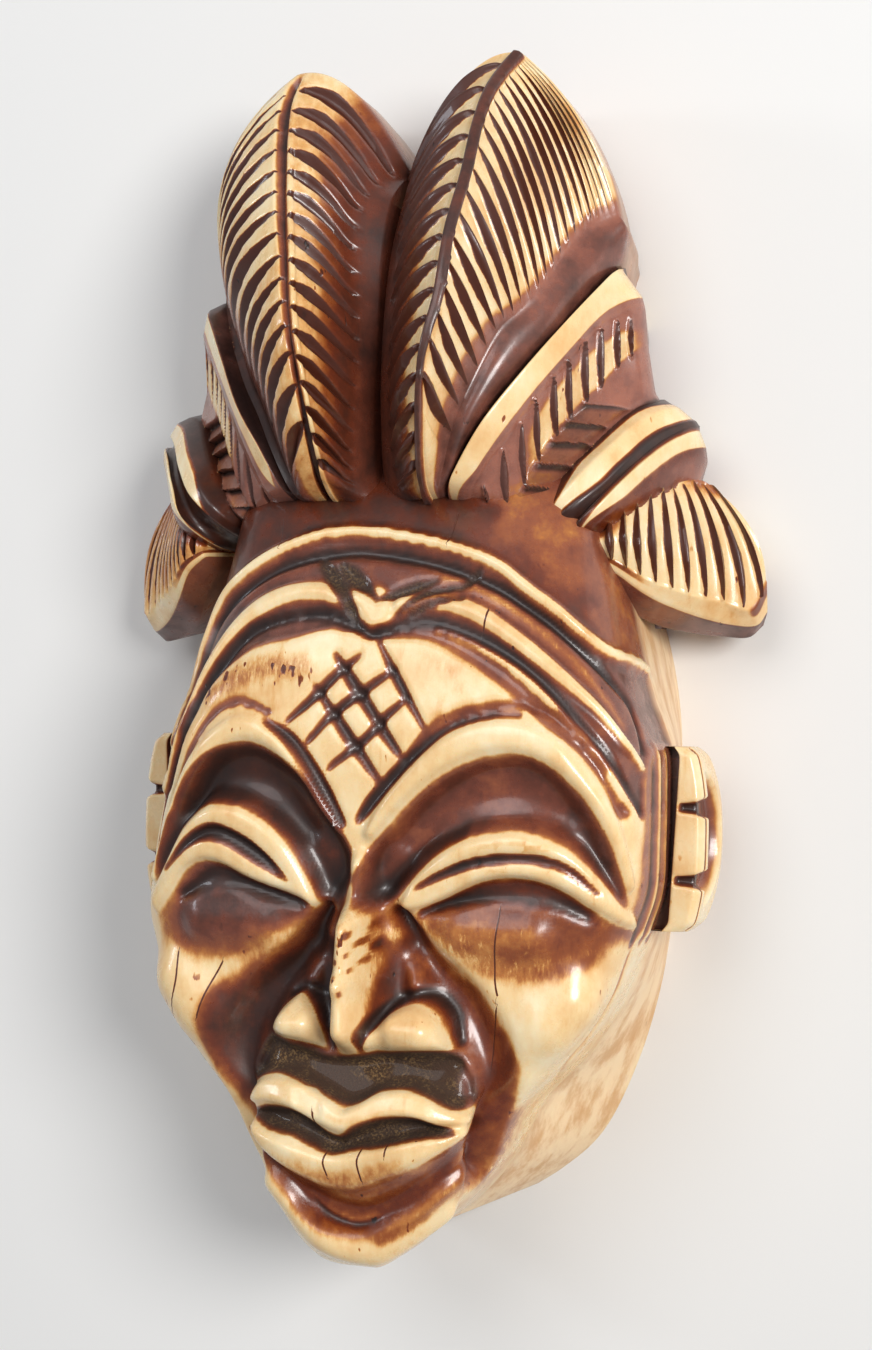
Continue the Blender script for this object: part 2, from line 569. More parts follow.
BROW_GROOVE_RIGHT = [(0.1, -10.5, 0.3), (1.0, -9.3, 0.55), (2.6, -7.5, 0.55), (4.6, -5.5, 0.45),
                     (6.6, -3.9, 0.3),
                     (9.2, -3.0, 0.22), (12.0, -2.7, 0.15)]
BROW_GROOVE_LEFT = [(-7.3, -3.6, 0.12), (-5.4, -4.7, 0.5), (-3.8, -6.5, 0.6), (-2.3, -8.8, 0.55),
                    (-1.1, -10.9, 0.3)]
stroke([(3.4, -6.4, 0.3), (5.8, -4.0, 0.8), (9.0, -2.8, 1.0), (12.4, -2.5, 1.0), (15.2, -3.6, 1.0),
        (17.4, -6.4, 0.9)], -0.3, "band", only=1, stain=0.4, mauve=0.2, rub=0.7)
stroke([(-7.0, -3.1, 0.4), (-9.4, -2.5, 0.6), (-11.2, -3.2, 0.6), (-12.9, -5.2, 0.5), (-15.2, -10.2, 0.4)],
       -0.3, "band", only=-1, stain=0.5, mauve=0.8)
for groove in (BROW_GROOVE_RIGHT, BROW_GROOVE_LEFT):
    stroke(groove, -0.6, "vee", stain=0.86, mauve=0.2)
print("sockets cut", round(-float(relief.min()), 2), "mm deep")

# %% [markdown]
# The eyes are shut. Below each lid the dye was rubbed through on the ball of the eye, so it fades
# from dark under the lid to cream on the cheek. A patch with a very soft edge gives that fade,
# and a thin cut marks the slit between the lids.

# %% Lids and closed eyes
LID_RIGHT = (
    [(2.6, -16.9), (4.0, -14.7), (5.6, -13.1), (7.6, -11.8), (10.2, -11.1), (12.4, -11.0), (15.0, -11.9),
     (17.2, -13.9), (19.0, -16.8)],
    [(2.6, -17.1), (5.2, -16.6), (6.8, -15.8), (8.6, -14.8), (10.2, -14.3), (12.4, -14.2), (15.0, -15.0),
     (17.4, -16.7), (19.0, -17.9)],
)
LID_LEFT = (
    [(-3.2, -17.0), (-3.6, -15.6), (-4.3, -14.2), (-5.5, -12.3), (-7.3, -10.7), (-9.4, -9.8), (-11.5, -9.8),
     (-13.3, -10.9), (-15.4, -13.8), (-17.2, -16.8)],
    [(-3.3, -17.1), (-5.0, -16.2), (-7.1, -15.6), (-8.9, -15.0), (-10.7, -14.1), (-12.1, -13.9),
     (-13.7, -14.7),
     (-15.2, -16.6), (-17.0, -18.4)],
)
EYE_RIGHT = (
    [(3.0, -17.2), (5.2, -16.6), (6.8, -15.8), (8.6, -14.8), (10.2, -14.3), (12.4, -14.2), (15.0, -15.0),
     (17.4, -16.7), (18.6, -17.8)],
    [(3.0, -18.2), (5.7, -19.6), (9.3, -21.4), (13.5, -21.3), (16.5, -20.1), (18.4, -18.2)],
)
EYE_LEFT = (
    [(-3.4, -17.1), (-5.0, -16.2), (-7.1, -15.6), (-8.9, -15.0), (-10.7, -14.1), (-12.1, -13.9),
     (-13.7, -14.7),
     (-15.0, -16.4), (-15.9, -18.2)],
    [(-3.6, -18.4), (-6.1, -18.9), (-7.6, -19.4), (-9.6, -20.2), (-11.8, -20.6), (-14.0, -20.2),
     (-15.7, -19.3)],
)
patch(*EYE_RIGHT, 0, 1, 1.5, stain=0.42, mauve=0.1, rub=1)
wipe([(8.0, -20.2, 1.2), (12.0, -20.6, 1.4), (16.0, -19.6, 1.2)], stain=0.28)
wipe([(6.4, -17.2, 0.5), (10.4, -16.8, 1.0), (14.4, -17.2, 0.9)], stain=0.52)
patch(*EYE_LEFT, 0, 1, 2.2, stain=0.6, mauve=0.4, rub=1)
wipe([(-4.6, -17.2, 0.9), (-9.8, -17.2, 2.2), (-14.0, -17.8, 1.6)], stain=0.76, mauve=0.3)
stroke([(4.6, -17.0, 0.5), (7.4, -16.0, 0.9), (10.6, -15.1, 1.2), (13.4, -15.2, 1.1), (16.6, -16.8, 0.6)],
       -0.55, "swell", stain=0.6, mauve=0, rub=0.3)
stroke([(-4.6, -16.8, 0.5), (-7.6, -16.0, 0.8), (-11.4, -15.0, 1.1), (-14.4, -16.6, 0.6)],
       -0.55, "swell", stain=0.86, mauve=0.1)
for lid in (LID_RIGHT, LID_LEFT):
    patch(*lid, 0.6, 0.35, 0.12, stain=BONE, mauve=0, rub=0)
stroke([(4.2, -15.2, 0.15), (6.5, -14.0, 0.35), (8.9, -13.1, 0.42), (12.3, -12.7, 0.4), (15.0, -13.2, 0.35),
        (17.2, -15.0, 0.15)], -0.75, "vee", stain=0.88, mauve=0.1)
patch([(-5.1, -15.1), (-7.3, -12.8), (-9.3, -11.6), (-11.4, -11.1), (-13.4, -12.2), (-15.5, -14.7)],
      [(-5.1, -15.2), (-8.2, -13.6), (-10.0, -12.6), (-11.5, -12.3), (-13.2, -12.9), (-15.4, -14.9)],
      -0.75, 0.35, 0.15, stain=0.92, mauve=0.1)
both_sides([(7.5, -18.4, 2.6), (12.5, -18.4, 2.6)], 0.75, "swell")
both_sides([(13.8, -24.6, 4.0), (15.2, -23.2, 3.8)], 1.2, "swell")
SLIT_RIGHT = [(5.0, -16.7, 0.1), (7.0, -16.2, 0.22), (9.6, -15.8, 0.25), (12.2, -15.8, 0.25),
              (15.0, -16.3, 0.2),
              (17.1, -17.3, 0.1)]
SLIT_LEFT = [(-3.8, -16.9, 0.15), (-7.2, -15.9, 0.22), (-9.2, -15.6, 0.25), (-11.4, -15.8, 0.2),
             (-13.7, -16.6, 0.1)]
for slit in (SLIT_RIGHT, SLIT_LEFT):
    stroke(slit, -0.3, "vee", stain=0.86)
print("eyes cut: the lids stand", round(float(relief.max()), 2), "mm above the block")

# %% [markdown]
# Deep stained hollows run from the corners of the eyes, beside the nose, down to the mouth.
# They are the broadest forms of the face, so they come before the nose that stands between them:
# wide swells sink the surface, and two patches lay the dye on it.

# %% Hollows beside the nose
HOLLOW_RIGHT = (
    [(-0.4, -17.4), (1.6, -17.2), (3.4, -18.0), (4.6, -20.2), (6.7, -21.5), (8.7, -22.8), (10.4, -24.6),
     (11.4, -26.9), (11.2, -29.4), (10.8, -31.4), (11.4, -33.0), (9.6, -35.6), (8.0, -37.2)],
    [(-0.4, -17.8), (0.8, -21.0), (0.8, -24.0), (0.5, -28.0), (4.0, -29.0), (7.0, -31.5), (6.5, -34.5),
     (7.0, -37.2)],
)
HOLLOW_LEFT = (
    [(0.2, -17.0), (-2.6, -17.4), (-4.2, -19.0), (-7.5, -20.8), (-9.9, -22.4), (-11.8, -23.8), (-12.6, -25.8),
     (-12.2, -28.2), (-10.9, -30.8), (-9.6, -33.0)],
    [(0.2, -17.6), (-1.6, -21.0), (-1.8, -24.0), (-2.0, -28.0), (-6.0, -29.0), (-8.6, -31.0), (-9.0, -33.4)],
)
patch(*HOLLOW_RIGHT, 0, 1, 1.7, stain=0.46, mauve=0.05, rub=1)
patch(*HOLLOW_LEFT, 0, 1, 1.3, stain=0.7, mauve=0.15, rub=1)
wipe([(10.4, -25.6, 0.8), (11.0, -28.0, 1.1), (10.4, -31.0, 1.1), (9.0, -34.0, 0.9)], stain=0.58)
wipe([(7.6, -24.6, 0.9), (8.6, -27.4, 1.1), (8.6, -31.0, 0.9), (8.2, -34.0, 0.7)], mauve=0.4)
both_sides([(2.8, -17.2, 1.0), (5.0, -20.8, 1.9), (7.8, -23.8, 2.7), (9.4, -27.4, 2.9), (9.6, -31.2, 2.4),
            (8.4, -35.6, 2.0)], -1.9, "swell")
both_sides([(3.0, -20.0, 1.6), (2.8, -22.8, 1.2)], -0.9, "swell")

print("hollows sunk to", round(float(relief.min()), 2), "mm")

# %% [markdown]
# The nose is a narrow cream ridge with two leaf-shaped nostril wings. Swells raise it from the
# block, and each wing is a small patch with a groove round its top. The bridge is worn down to
# the pores of the bone, and the clearest of them are pricked in one by one further down.

# %% Nose
stroke([(0.3, -13.5, 1.2), (0.1, -17.5, 1.9), (0, -21, 2.3)], 1.4, "swell")
stroke([(0, -17.5, 1.8), (-0.2, -21, 2.3), (-0.1, -25.5, 2.7)], 3.2, "swell")
stroke([(-0.1, -22.5, 2.0), (-0.1, -25.4, 2.3)], 1.6, "swell")
NOSE_RIDGE = (
    [(-0.3, -16.4), (-0.9, -18.0), (-1.8, -19.4), (-2.2, -20.6), (-2.3, -22.3), (-1.9, -24.0), (-1.6, -25.6),
     (-1.4, -27.2)],
    [(0.4, -16.4), (1.6, -17.6), (2.4, -18.8), (2.2, -20.2), (1.6, -21.8), (1.2, -24.0), (1.0, -25.4),
     (0.8, -27.0)],
)
patch(*NOSE_RIDGE, 0, 1, 0.5, stain=BONE + 0.03, mauve=0, rub=0.8)
wipe([(0.2, -18.4, 1.3), (-0.3, -20.2, 1.4), (-0.2, -22.4, 1.2)], pore=1)
wipe([(-1.4, -16.6, 0.7), (-1.6, -17.8, 0.9), (-2.2, -18.6, 0.8)], stain=0.5)
wipe([(0.2, -17.0, 0.8), (-0.4, -18.0, 0.7)], stain=0.3)
wipe([(2.0, -17.4, 0.9), (2.8, -18.2, 0.9), (2.0, -19.6, 0.8)], stain=0.3, rub=1)
WING_RIGHT = (
    [(0.4, -27.0), (1.5, -25.5), (2.7, -24.1), (4.3, -23.4), (5.7, -24.0), (6.6, -25.4), (7.0, -26.5)],
    [(0.4, -27.1), (3.4, -26.9), (7.0, -26.6)],
)
WING_LEFT = (
    [(-2.2, -27.1), (-2.6, -25.3), (-3.4, -23.9), (-4.6, -23.1), (-5.8, -24.3), (-6.8, -26.0)],
    [(-2.2, -27.2), (-4.5, -26.6), (-6.8, -26.1)],
)
stroke([(3.2, -25.3, 2.6), (4.8, -25.4, 2.9)], 1.9, "swell")
stroke([(-3.9, -25.3, 2.2), (-5.0, -25.4, 2.4)], 1.9, "swell")
for wing in (WING_RIGHT, WING_LEFT):
    patch(*wing, 0.75, 0.4, 0.12, stain=BONE, mauve=0, rub=0)
stroke([(0.6, -27.0, 0.12), (1.1, -25.5, 0.4), (2.2, -23.9, 0.5), (3.6, -23.0, 0.45), (5.2, -22.9, 0.4),
        (6.7, -24.0, 0.35), (7.4, -26.2, 0.3)], -0.7, "vee", stain=0.84, mauve=0.1)
stroke([(-1.8, -27.0, 0.12), (-2.1, -25.2, 0.4), (-3.0, -23.6, 0.5), (-4.2, -22.7, 0.4), (-5.6, -23.4, 0.3)],
       -0.7, "vee", stain=0.88)
print("the nose stands", round(float(relief.max()), 2), "mm above the block")

# %% [markdown]
# Under the nose the bone was left rough from the tool, and the same rough ground lies in the parted
# mouth. The lips are two cream bands. The chin has a hollow of its own, with a rubbed edge.
# All of these share edges, so the lines are drawn once here and used by several marks.

# %% Lines of the mouth
ROUGH_GROUND = (
    [(-8.9, -28.6), (-7.1, -26.4), (-4.9, -26.9), (-2.5, -27.5), (-0.7, -27.5), (1.9, -27.1), (6.3, -26.7),
     (7.6, -27.2), (8.5, -28.6), (8.8, -30.3)],
    [(-9.3, -30.0), (-8.6, -29.9), (-6.4, -29.0), (-4.6, -29.2), (-2.2, -30.1), (-0.2, -30.8), (1.1, -30.4),
     (2.2, -29.7), (4.0, -29.4), (5.3, -29.7), (7.3, -30.6), (8.6, -30.5)],
)
LIP_EDGE = [(-9.0, -32.4), (-8.2, -32.6), (-6.7, -34.1), (-4.8, -35.4), (-2.7, -36.4), (-0.8, -37.1),
            (0.7, -37.2),
            (2.5, -36.4), (4.6, -35.0), (6.1, -33.7), (8.0, -32.3), (8.9, -31.2)]
CHIN_HOLLOW = [(-9.4, -32.6), (-8.6, -33.6), (-7.1, -35.5), (-5.5, -37.4), (-4.6, -38.8), (-2.9, -40.1),
               (-0.9, -40.5),
               (1.1, -40.4), (2.3, -39.8), (4.4, -38.6), (6.3, -37.0), (8.2, -35.4), (9.8, -32.6)]
MOUTH_GAP = (
    [(-8.2, -32.0), (-6.6, -31.4), (-4.2, -31.4), (-2.9, -31.9), (-1.5, -32.8), (-0.6, -33.0), (0.3, -32.5),
     (2.0, -31.7), (4.7, -31.3), (6.4, -31.8), (7.4, -32.2)],
    [(-8.2, -32.1), (-6.0, -33.0), (-4.2, -33.3), (-3.0, -33.8), (-1.2, -34.3), (0.4, -33.9), (2.6, -33.5),
     (4.7, -32.9), (6.4, -32.5), (7.4, -32.3)],
)
UPPER_LIP = [(-8.4, -31.1, 0.4), (-6.6, -30.2, 1.1), (-4.4, -30.3, 1.25), (-2.3, -31.1, 1.2),
             (-0.4, -31.9, 1.0),
             (1.0, -31.4, 1.1), (2.6, -30.6, 1.2), (4.6, -30.4, 1.2), (6.6, -31.1, 0.9), (8.2, -31.3, 0.4)]
LOWER_LIP = [(-7.8, -32.9, 0.4), (-6.0, -34.0, 1.0), (-4.0, -34.9, 1.35), (-1.8, -35.6, 1.6),
             (0.0, -35.6, 1.7),
             (1.8, -35.0, 1.6), (4.0, -34.1, 1.3), (6.0, -33.1, 0.9), (7.8, -32.1, 0.4)]
print("mouth gap drawn", round(MOUTH_GAP[0][-1][0] - MOUTH_GAP[0][0][0], 1), "mm wide")

# %% [markdown]
# The mouth pushes forward as one broad swell, and the hollow of the chin is cut into its lower side.
# The rough ground gets grit, which the finish turns into dark grains with no polish.

# %% Mouth and chin
stroke([(-3.5, -32.4, 6.8), (3.3, -32.4, 6.8)], 1.9, "swell")
patch(LIP_EDGE, CHIN_HOLLOW, -0.8, 1.2, 0.9, stain=0.5, mauve=0, rub=1)
wipe([(8.2, -33.4, 0.9), (6.8, -36.2, 1.1), (4.8, -38.6, 1.2), (2.0, -40.4, 1.0)], stain=0.36, rub=1)
patch(ROUGH_GROUND[1], LIP_EDGE, 0, 1, 0.15, stain=BONE, mauve=0, grit=0, rub=0)
wipe([(-5.6, -35.2, 2.0), (-1.0, -36.8, 3.2), (4.0, -35.0, 2.0)], stain=0.36, rub=0.5)
patch(*ROUGH_GROUND, -1.0, 0.6, 0.15, stain=0.9, grit=1, mauve=0)
stroke([(8.0, -27.8, 0.9), (7.9, -29.2, 1.2), (8.3, -30.4, 0.5)], 0.3, "swell", stain=0.55, mauve=0.6, grit=0)
wipe([(-9.4, -29.0, 1.2), (-8.2, -28.4, 1.0)], stain=0.8, grit=0, mauve=0.4)
for lip in (UPPER_LIP, LOWER_LIP):
    stroke(lip, 0.8, "band")
wipe([(-1.2, -31.6, 1.2), (0.8, -31.9, 1.3), (3.4, -30.8, 0.9)], stain=0.32)
wipe([(-6.4, -30.6, 1.0), (-4.6, -30.6, 1.0)], stain=0.26, rub=0.6)
patch(*MOUTH_GAP, -1.35, 0.5, 0.13, stain=0.9, grit=0.7)
stroke([(-6.4, -37.2, 1.5), (0, -41.8, 2.0), (6.0, -38.6, 1.5)], 0.6, "swell")
stroke([(-3.6, -37.5, 0.1), (-2.3, -38.7, 0.16), (-1.0, -39.2, 0.2), (0.1, -39.3, 0.2), (1.6, -38.8, 0.1)],
       0.15, "vee", stain=0.3)
stroke([(-3.4, -37.9, 0.1), (-2.2, -39.1, 0.25), (0.1, -39.7, 0.25), (1.7, -39.2, 0.1)], -0.2, "vee",
       stain=0.75)
patch([(-4.3, -29.9), (-2.7, -29.8), (-1.8, -30.6)], [(-4.0, -31.2), (-3.1, -31.7), (-1.7, -32.1)],
      -0.15, 0.3, 0.12, stain=0.0)
print("lips", round(float(relief.max()), 2), "mm above the block at the most")

# %% [markdown]
# Last come the marks of age: cracks along the grain, pores on the bridge of the nose and one
# faint knife line from the ear down the jaw. The pores are shallow pits with a little dye in them.

# %% Cracks, pores and the line along the jaw
HAIRLINES = [
    [(10.5, -16.4), (10.2, -18.6), (10.0, -20.4), (10.0, -21.8), (10.2, -22.8)],
    [(10.0, -23.6), (9.7, -25.7), (9.6, -28.2)], [(1.1, -33.8), (0.9, -34.7), (1.1, -36.0)],
    [(-1.6, -34.2), (-1.7, -34.9), (-1.5, -35.8)], [(3.1, -33.0), (3.0, -34.0)],
    [(-14.6, -20.8), (-14.3, -23.0), (-14.7, -25.6)], [(-11.0, -21.4), (-11.9, -23.2), (-12.6, -25.4)],
    [(-2.5, -31.4), (-2.4, -32.4)], [(5.2, 9.4), (5.5, 11.6)], [(-8.0, 9.2), (-8.3, 11.2)],
    [(8.6, 2.6), (8.9, 4.6)],
]
for crack in HAIRLINES:
    hairline(crack)
NOSE_PORES = [(-1.0, -18.0), (0.4, -17.9), (1.4, -17.8), (-0.1, -18.6), (0.9, -18.7), (-0.8, -19.3),
              (0.4, -19.4),
              (1.5, -19.2), (-0.4, -20.0), (1.0, -20.1), (-1.0, -20.6), (0.5, -20.7), (-0.3, -21.3),
              (0.2, -22.4)]
for across, level in NOSE_PORES:
    stroke([(across, level + 0.12, 0.17), (across - 0.03, level - 0.12, 0.17)], -0.12, "vee", stain=0.95)
stroke([(18.4, -19.6, 0.3), (17.2, -22.8, 0.4), (15.6, -25.6, 0.4), (14.0, -27.8, 0.4), (11.2, -31.0, 0.3)],
       -0.15, "vee", stain=0.34, mauve=0.3)
print("deepest cut:", round(float(relief.min()), 2), "mm, with", len(HAIRLINES), "cracks")

# %% [markdown]
# Two thin edges run down beside each ear, where the headband lines meet. They lie on the steep
# side of the head, so their points carry a height of their own.

# %% Edges beside the ears
for height_z in (13.6, 11.6):
    edge = [(side_x(level, height_z), level, height_z, 0.24) for level in (-5.4, -8.0, -12.0, -16.0, -18.6)]
    both_sides(edge, 0.35, "round", stain=0.26, mauve=0.3)
for height_z in (14.6, 12.6, 10.6):
    groove = [(side_x(level, height_z), level, height_z, 0.45) for level in (-6.4, -8.0, -12.0, -16.0, -18.8)]
    both_sides(groove, -0.15, "vee", stain=0.68, mauve=0.45)
print("the side of the head is", round(side_x(-12.0, 12.6), 1), "mm out at the ear")

# %% [markdown]
# Hollows keep more dye than ridges. The difference between the relief and its own softened copy
# says where a place lies lower than what is around it, and that adds stain there and
# takes it off the high edges, which thumbs have polished for years.

# %% Wear, and the carved surface of the head
EDGE_ROWS, EDGE_COLUMNS = 4, 3
row_number, column_number = np.arange(head_place.shape[0]), np.arange(head_place.shape[1])
from_end = np.minimum(row_number, row_number[::-1])[:, None] / EDGE_ROWS
from_side = np.minimum(column_number, column_number[::-1])[None] / EDGE_COLUMNS
relief = softened(relief, 1) * step_up(0, 1, np.minimum(from_end, from_side))
sunk = softened(relief, 10) - relief
for name in TINTS:
    head_fields[name] = softened(head_fields[name], 1)
hollow = softened(relief, 60) - relief
head_fields["stain"] += np.clip(sunk * 0.35, -0.06, 0.16) + np.clip(hollow * 0.12, -0.04, 0.16)
jaw_edge = step_up(16.5, 13.0, head_z) * step_up(-21, -25, head_y)
head_fields["stain"] = blend(head_fields["stain"], 0.2, jaw_edge)
head_fields["mauve"] *= 1 - jaw_edge
head_carved = head_place + outward(head_place) * relief[..., None]
print("mean stain of the head:", round(float(head_fields["stain"].mean()), 3))

# %% [markdown]
# Behind the jaw the side wall drops to the flat back on which the mask lies. The photograph shows
# it only on the right: pale, unpolished bone that draws in below the jaw. Rings of the sheet step
# down from the jaw edge to the outline of the back.

# %% Outline of the back
BACK_LINE = smooth_line(
    [(17, 12.0), (6, 16.6), (-1, 18.3), (-10, 18.4), (-20, 17.9), (-27, 16.8), (-32, 15.3), (-35.5, 13.3),
     (-38, 10.6), (-40.2, 7.0), (-41.4, 4.0), (-41.8, 1.8)], np.linspace(0, 1, 80))
LEFT_BACK = np.array([(17, 1.5), (8, 3.0), (0, 3.4), (-6, 2.8), (-12, 1.6), (-18, 0.5), (-24, 0.4), (-30, 0)])
BACK_CHIN_Y, BACK_CHIN_DROP, BACK_TURN_Y, BACK_TRIM = -41.8, 0.4, -38, 1.0


def head_back(point, row, column):
    """The flat back under each place of the rim."""
    turn = np.argmax(head_place[:, 0, 1] < BACK_TURN_Y) / HEAD_ROWS
    past = np.clip((row - turn) / (1 - turn), 0, 1)
    level = np.where(row < turn, point[:, 1], blend(BACK_TURN_Y, BACK_CHIN_Y + BACK_CHIN_DROP, past))
    across = 2 * column - 1
    half = np.interp(-level, -BACK_LINE[:, 0], BACK_LINE[:, 1])
    half = np.where(across < 0, half - np.interp(-level, -LEFT_BACK[:, 0], LEFT_BACK[:, 1]), half)
    drop = np.where(row == 1, BACK_CHIN_DROP * (1 - across**2), 0)
    return np.stack([half * across, level - drop, np.full(len(level), -BACK_TRIM)], -1)


print("the back is", round(2 * float(BACK_LINE[:, 1].max()), 1), "mm wide at the most")

# %% [markdown]
# The head is now bent into place as one closed sheet. Its first wall ring stays under the jaw,
# pulled in a little, and the others go down to the back in even steps.

# %% Side walls and the head itself
WAIST_HEIGHT = 7.5
WALL_STEPS = (0, 0.2, 0.42, 0.64, 0.84, 1)


def head_wall(drop):
    """A ring of the side wall: from the jaw edge, pulled in a little, down to the back."""
    def wall(point, row, column):
        inset = blend(0.965, 1, step_up(-30, -22, point[:, 1])) - 0.05 * step_up(-36, -40, point[:, 1])
        level = np.maximum(point[:, 1], CHIN_Y + 1.7)
        waist = np.stack([point[:, 0] * inset, level, np.full(len(point), WAIST_HEIGHT)], -1)
        return blend(waist, head_back(point, row, column), drop)
    return wall


head = closed_sheet("face", head_carved, [head_wall(d) for d in WALL_STEPS],
                    head_fields, {"raw": 1.0, "stain": 0.2, "mauve": 0.0})
print("head:", len(head.data.vertices), "corners")

# %% [markdown]
# Each ear is a D-shaped plate that stands out from the side of the head. From the front it shows
# a cream strip with two notches, and from the side a C-shaped rim around a sunk crescent.
# It is one more sheet: its columns run from the channel beside the face over the strip,
# round the corner and back along the side.

# %% Plate of an ear
EAR_TOP, EAR_BOTTOM, EAR_FRONT, EAR_BACK = -4.8, -18.4, 10.8, 4.2
EAR_CHANNEL, EAR_ROOT = 9.2, 15.0
EAR_ROWS, EAR_COLUMNS = 90, 80


def ear_plate(reach):
    """Places of an ear that reaches out to reach, and which of its six leading lines each is near."""
    v = np.linspace(0, 1, EAR_ROWS + 1)[:, None]
    u = np.linspace(0, 1, EAR_COLUMNS + 1)[None]
    bow = np.sqrt(np.clip(1 - (2 * v - 1) ** 2, 0, 1))
    inner = reach - 2.3 + blend(0.35, -0.35, v)
    outer = reach - 0.9 * np.abs(2 * v - 1) ** 2.5
    back = blend(EAR_FRONT - 2.4, EAR_BACK, bow)
    line_at = (0.0, 0.12, 0.34, 0.42, 0.92, 1.0)
    line_x = [inner - 0.2, inner, outer - 0.5, outer, outer, outer - 1.4]
    line_z = [EAR_CHANNEL, EAR_FRONT, EAR_FRONT, EAR_FRONT - 0.6, back, back - 0.5]
    part = np.interp(u, line_at, np.arange(6)) + 0 * v
    x_at = sum(np.maximum(0, 1 - np.abs(part - k)) * line_x[k] for k in range(6))
    z_at = sum(np.maximum(0, 1 - np.abs(part - k)) * line_z[k] for k in range(6))
    end = step_up(0.07, 0, np.minimum(v, 1 - v))
    x_at -= 0.5 * end**2
    z_at -= 0.4 * end**2 * step_up(1, 2, part)
    level = blend(EAR_TOP, EAR_BOTTOM, v) + 0 * u
    return np.stack([x_at, level, z_at], -1), part


print("ears are", round(EAR_TOP - EAR_BOTTOM, 1), "mm tall")

# %% [markdown]
# The marks on an ear follow its shape: a sunk crescent inside the rim, a thin line behind the cream
# strip, and two notches that open outwards. The channel beside the face stays dark.
# The left ear is the right one turned over, and reaches out a little less.

# %% Ears
EAR_NOTCHES = (-9.3, -14.6)


def ear_marks(level, z_at, part):
    """Depth, stain and mauve of the cuts on an ear."""
    depth, stain, mauve = np.zeros_like(part), np.full_like(part, BONE), np.zeros_like(part)
    middle = (EAR_TOP + EAR_BOTTOM) / 2
    ring = np.hypot((level - middle) / 6.0, (z_at - (EAR_FRONT - 1.6)) / 5.2)
    crescent = step_up(0.82, 0.7, ring) * step_up(EAR_FRONT - 1.5, EAR_FRONT - 2.0, z_at)
    crescent *= step_up(2.6, 3, part)
    depth -= 1.0 * crescent
    stain += 0.5 * crescent
    mauve += 0.6 * crescent
    line = step_up(0.16, 0.05, np.abs(z_at - (EAR_FRONT - 0.75))) * step_up(2.5, 3, part)
    depth -= 0.15 * line
    stain += 0.6 * line
    for notch_y in EAR_NOTCHES:
        open_by = blend(0.35, 0.85, np.clip((part - 1) / 2, 0, 1))
        notch = step_up(open_by, open_by * 0.4, np.abs(level - notch_y)) * step_up(1.0, 1.25, part)
        notch *= step_up(EAR_FRONT - 2.6, EAR_FRONT - 2.0, z_at)
        depth -= 0.75 * notch
        stain, mauve = blend(stain, 0.82, notch), blend(mauve, 0.3, notch)
    inside = step_up(1.1, 0.85, part)
    stain, mauve = blend(stain, 0.66, inside), blend(mauve, 0.3, inside)
    return depth, stain + 0.2 * step_up(3.7, 4.6, part), mauve


def ear(name, hand, reach):
    """An ear on the right (hand 1) or left (hand -1)."""
    place, part = ear_plate(reach)
    depth, stain, mauve = ear_marks(place[..., 1], place[..., 2], part)
    place = softened(place, 3)
    place += outward(place) * depth[..., None]
    if hand < 0:
        place = place[:, ::-1] * (-1, 1, 1)
        stain, mauve = stain[:, ::-1], mauve[:, ::-1]

    def root(point, row, column):
        height = np.clip(point[:, 2], EAR_BACK, EAR_CHANNEL)
        return np.stack([np.full(len(point), EAR_ROOT * hand), point[:, 1], height], -1)
    return closed_sheet(name, place, [root], {"stain": stain, "mauve": mauve}, {"stain": 0.5, "mauve": 0.4})


ears = [ear("ear_right", 1, 22.9), ear("ear_left", -1, 22.0)]
print("ears:", len(ears))

# %% [markdown]
# The crest is two feathered lobes with a dark valley between them. On each lobe the flutes sweep
# from a midrib down to a smooth border, and shorter ones run down the inner face to the valley.
# A lobe is drawn as a table: each row is one flute line, with its place on the midrib, its outer end,
# the border, the edge of the valley, and the number of the flute. The carver worked by eye,
# so the two lobes differ, and each has its own table.

# %% Lines of the lobes
LOBE_RIGHT = [
    (3.0, 12.6, 17.0, 3.8, 12.7, 16.6, 4.1, 12.7, 16.2, 1.6, 12.4, 16.6, -1.5),
    (4.3, 17.2, 21.2, 4.7, 14.9, 17.6, 5.3, 14.6, 17.0, 1.2, 15.0, 17.8, -0.4),
    (5.0, 22.0, 23.2, 5.7, 17.9, 18.4, 6.6, 17.2, 17.6, 0.9, 18.8, 18.2, 0.8),
    (6.0, 26.3, 23.0, 7.0, 21.1, 18.2, 8.5, 20.3, 17.2, 0.7, 22.8, 18.0, 3.0),
    (6.2, 31.0, 21.5, 8.4, 24.5, 17.2, 10.5, 23.2, 15.8, 0.5, 27.0, 17.2, 5.5),
    (6.6, 35.5, 19.3, 9.7, 26.1, 16.2, 12.0, 25.3, 14.2, 0.2, 31.0, 15.8, 8.0),
    (6.6, 39.2, 17.2, 10.7, 27.4, 15.4, 13.0, 27.2, 12.6, -0.1, 34.0, 14.0, 10.0),
    (6.8, 42.0, 15.4, 11.6, 29.0, 14.3, 13.9, 28.9, 11.2, -0.3, 36.2, 12.4, 12.2),
    (7.3, 44.0, 13.8, 12.5, 31.4, 12.6, 14.9, 30.2, 10.2, -0.5, 37.4, 11.2, 14.8),
    (7.9, 45.2, 12.9, 13.6, 33.1, 11.0, 15.4, 31.0, 9.4, -0.6, 37.9, 10.7, 17.4),
    (8.4, 46.0, 12.4, 15.3, 34.3, 9.6, 15.7, 32.4, 8.9, -0.7, 38.2, 10.4, 22.0),
]
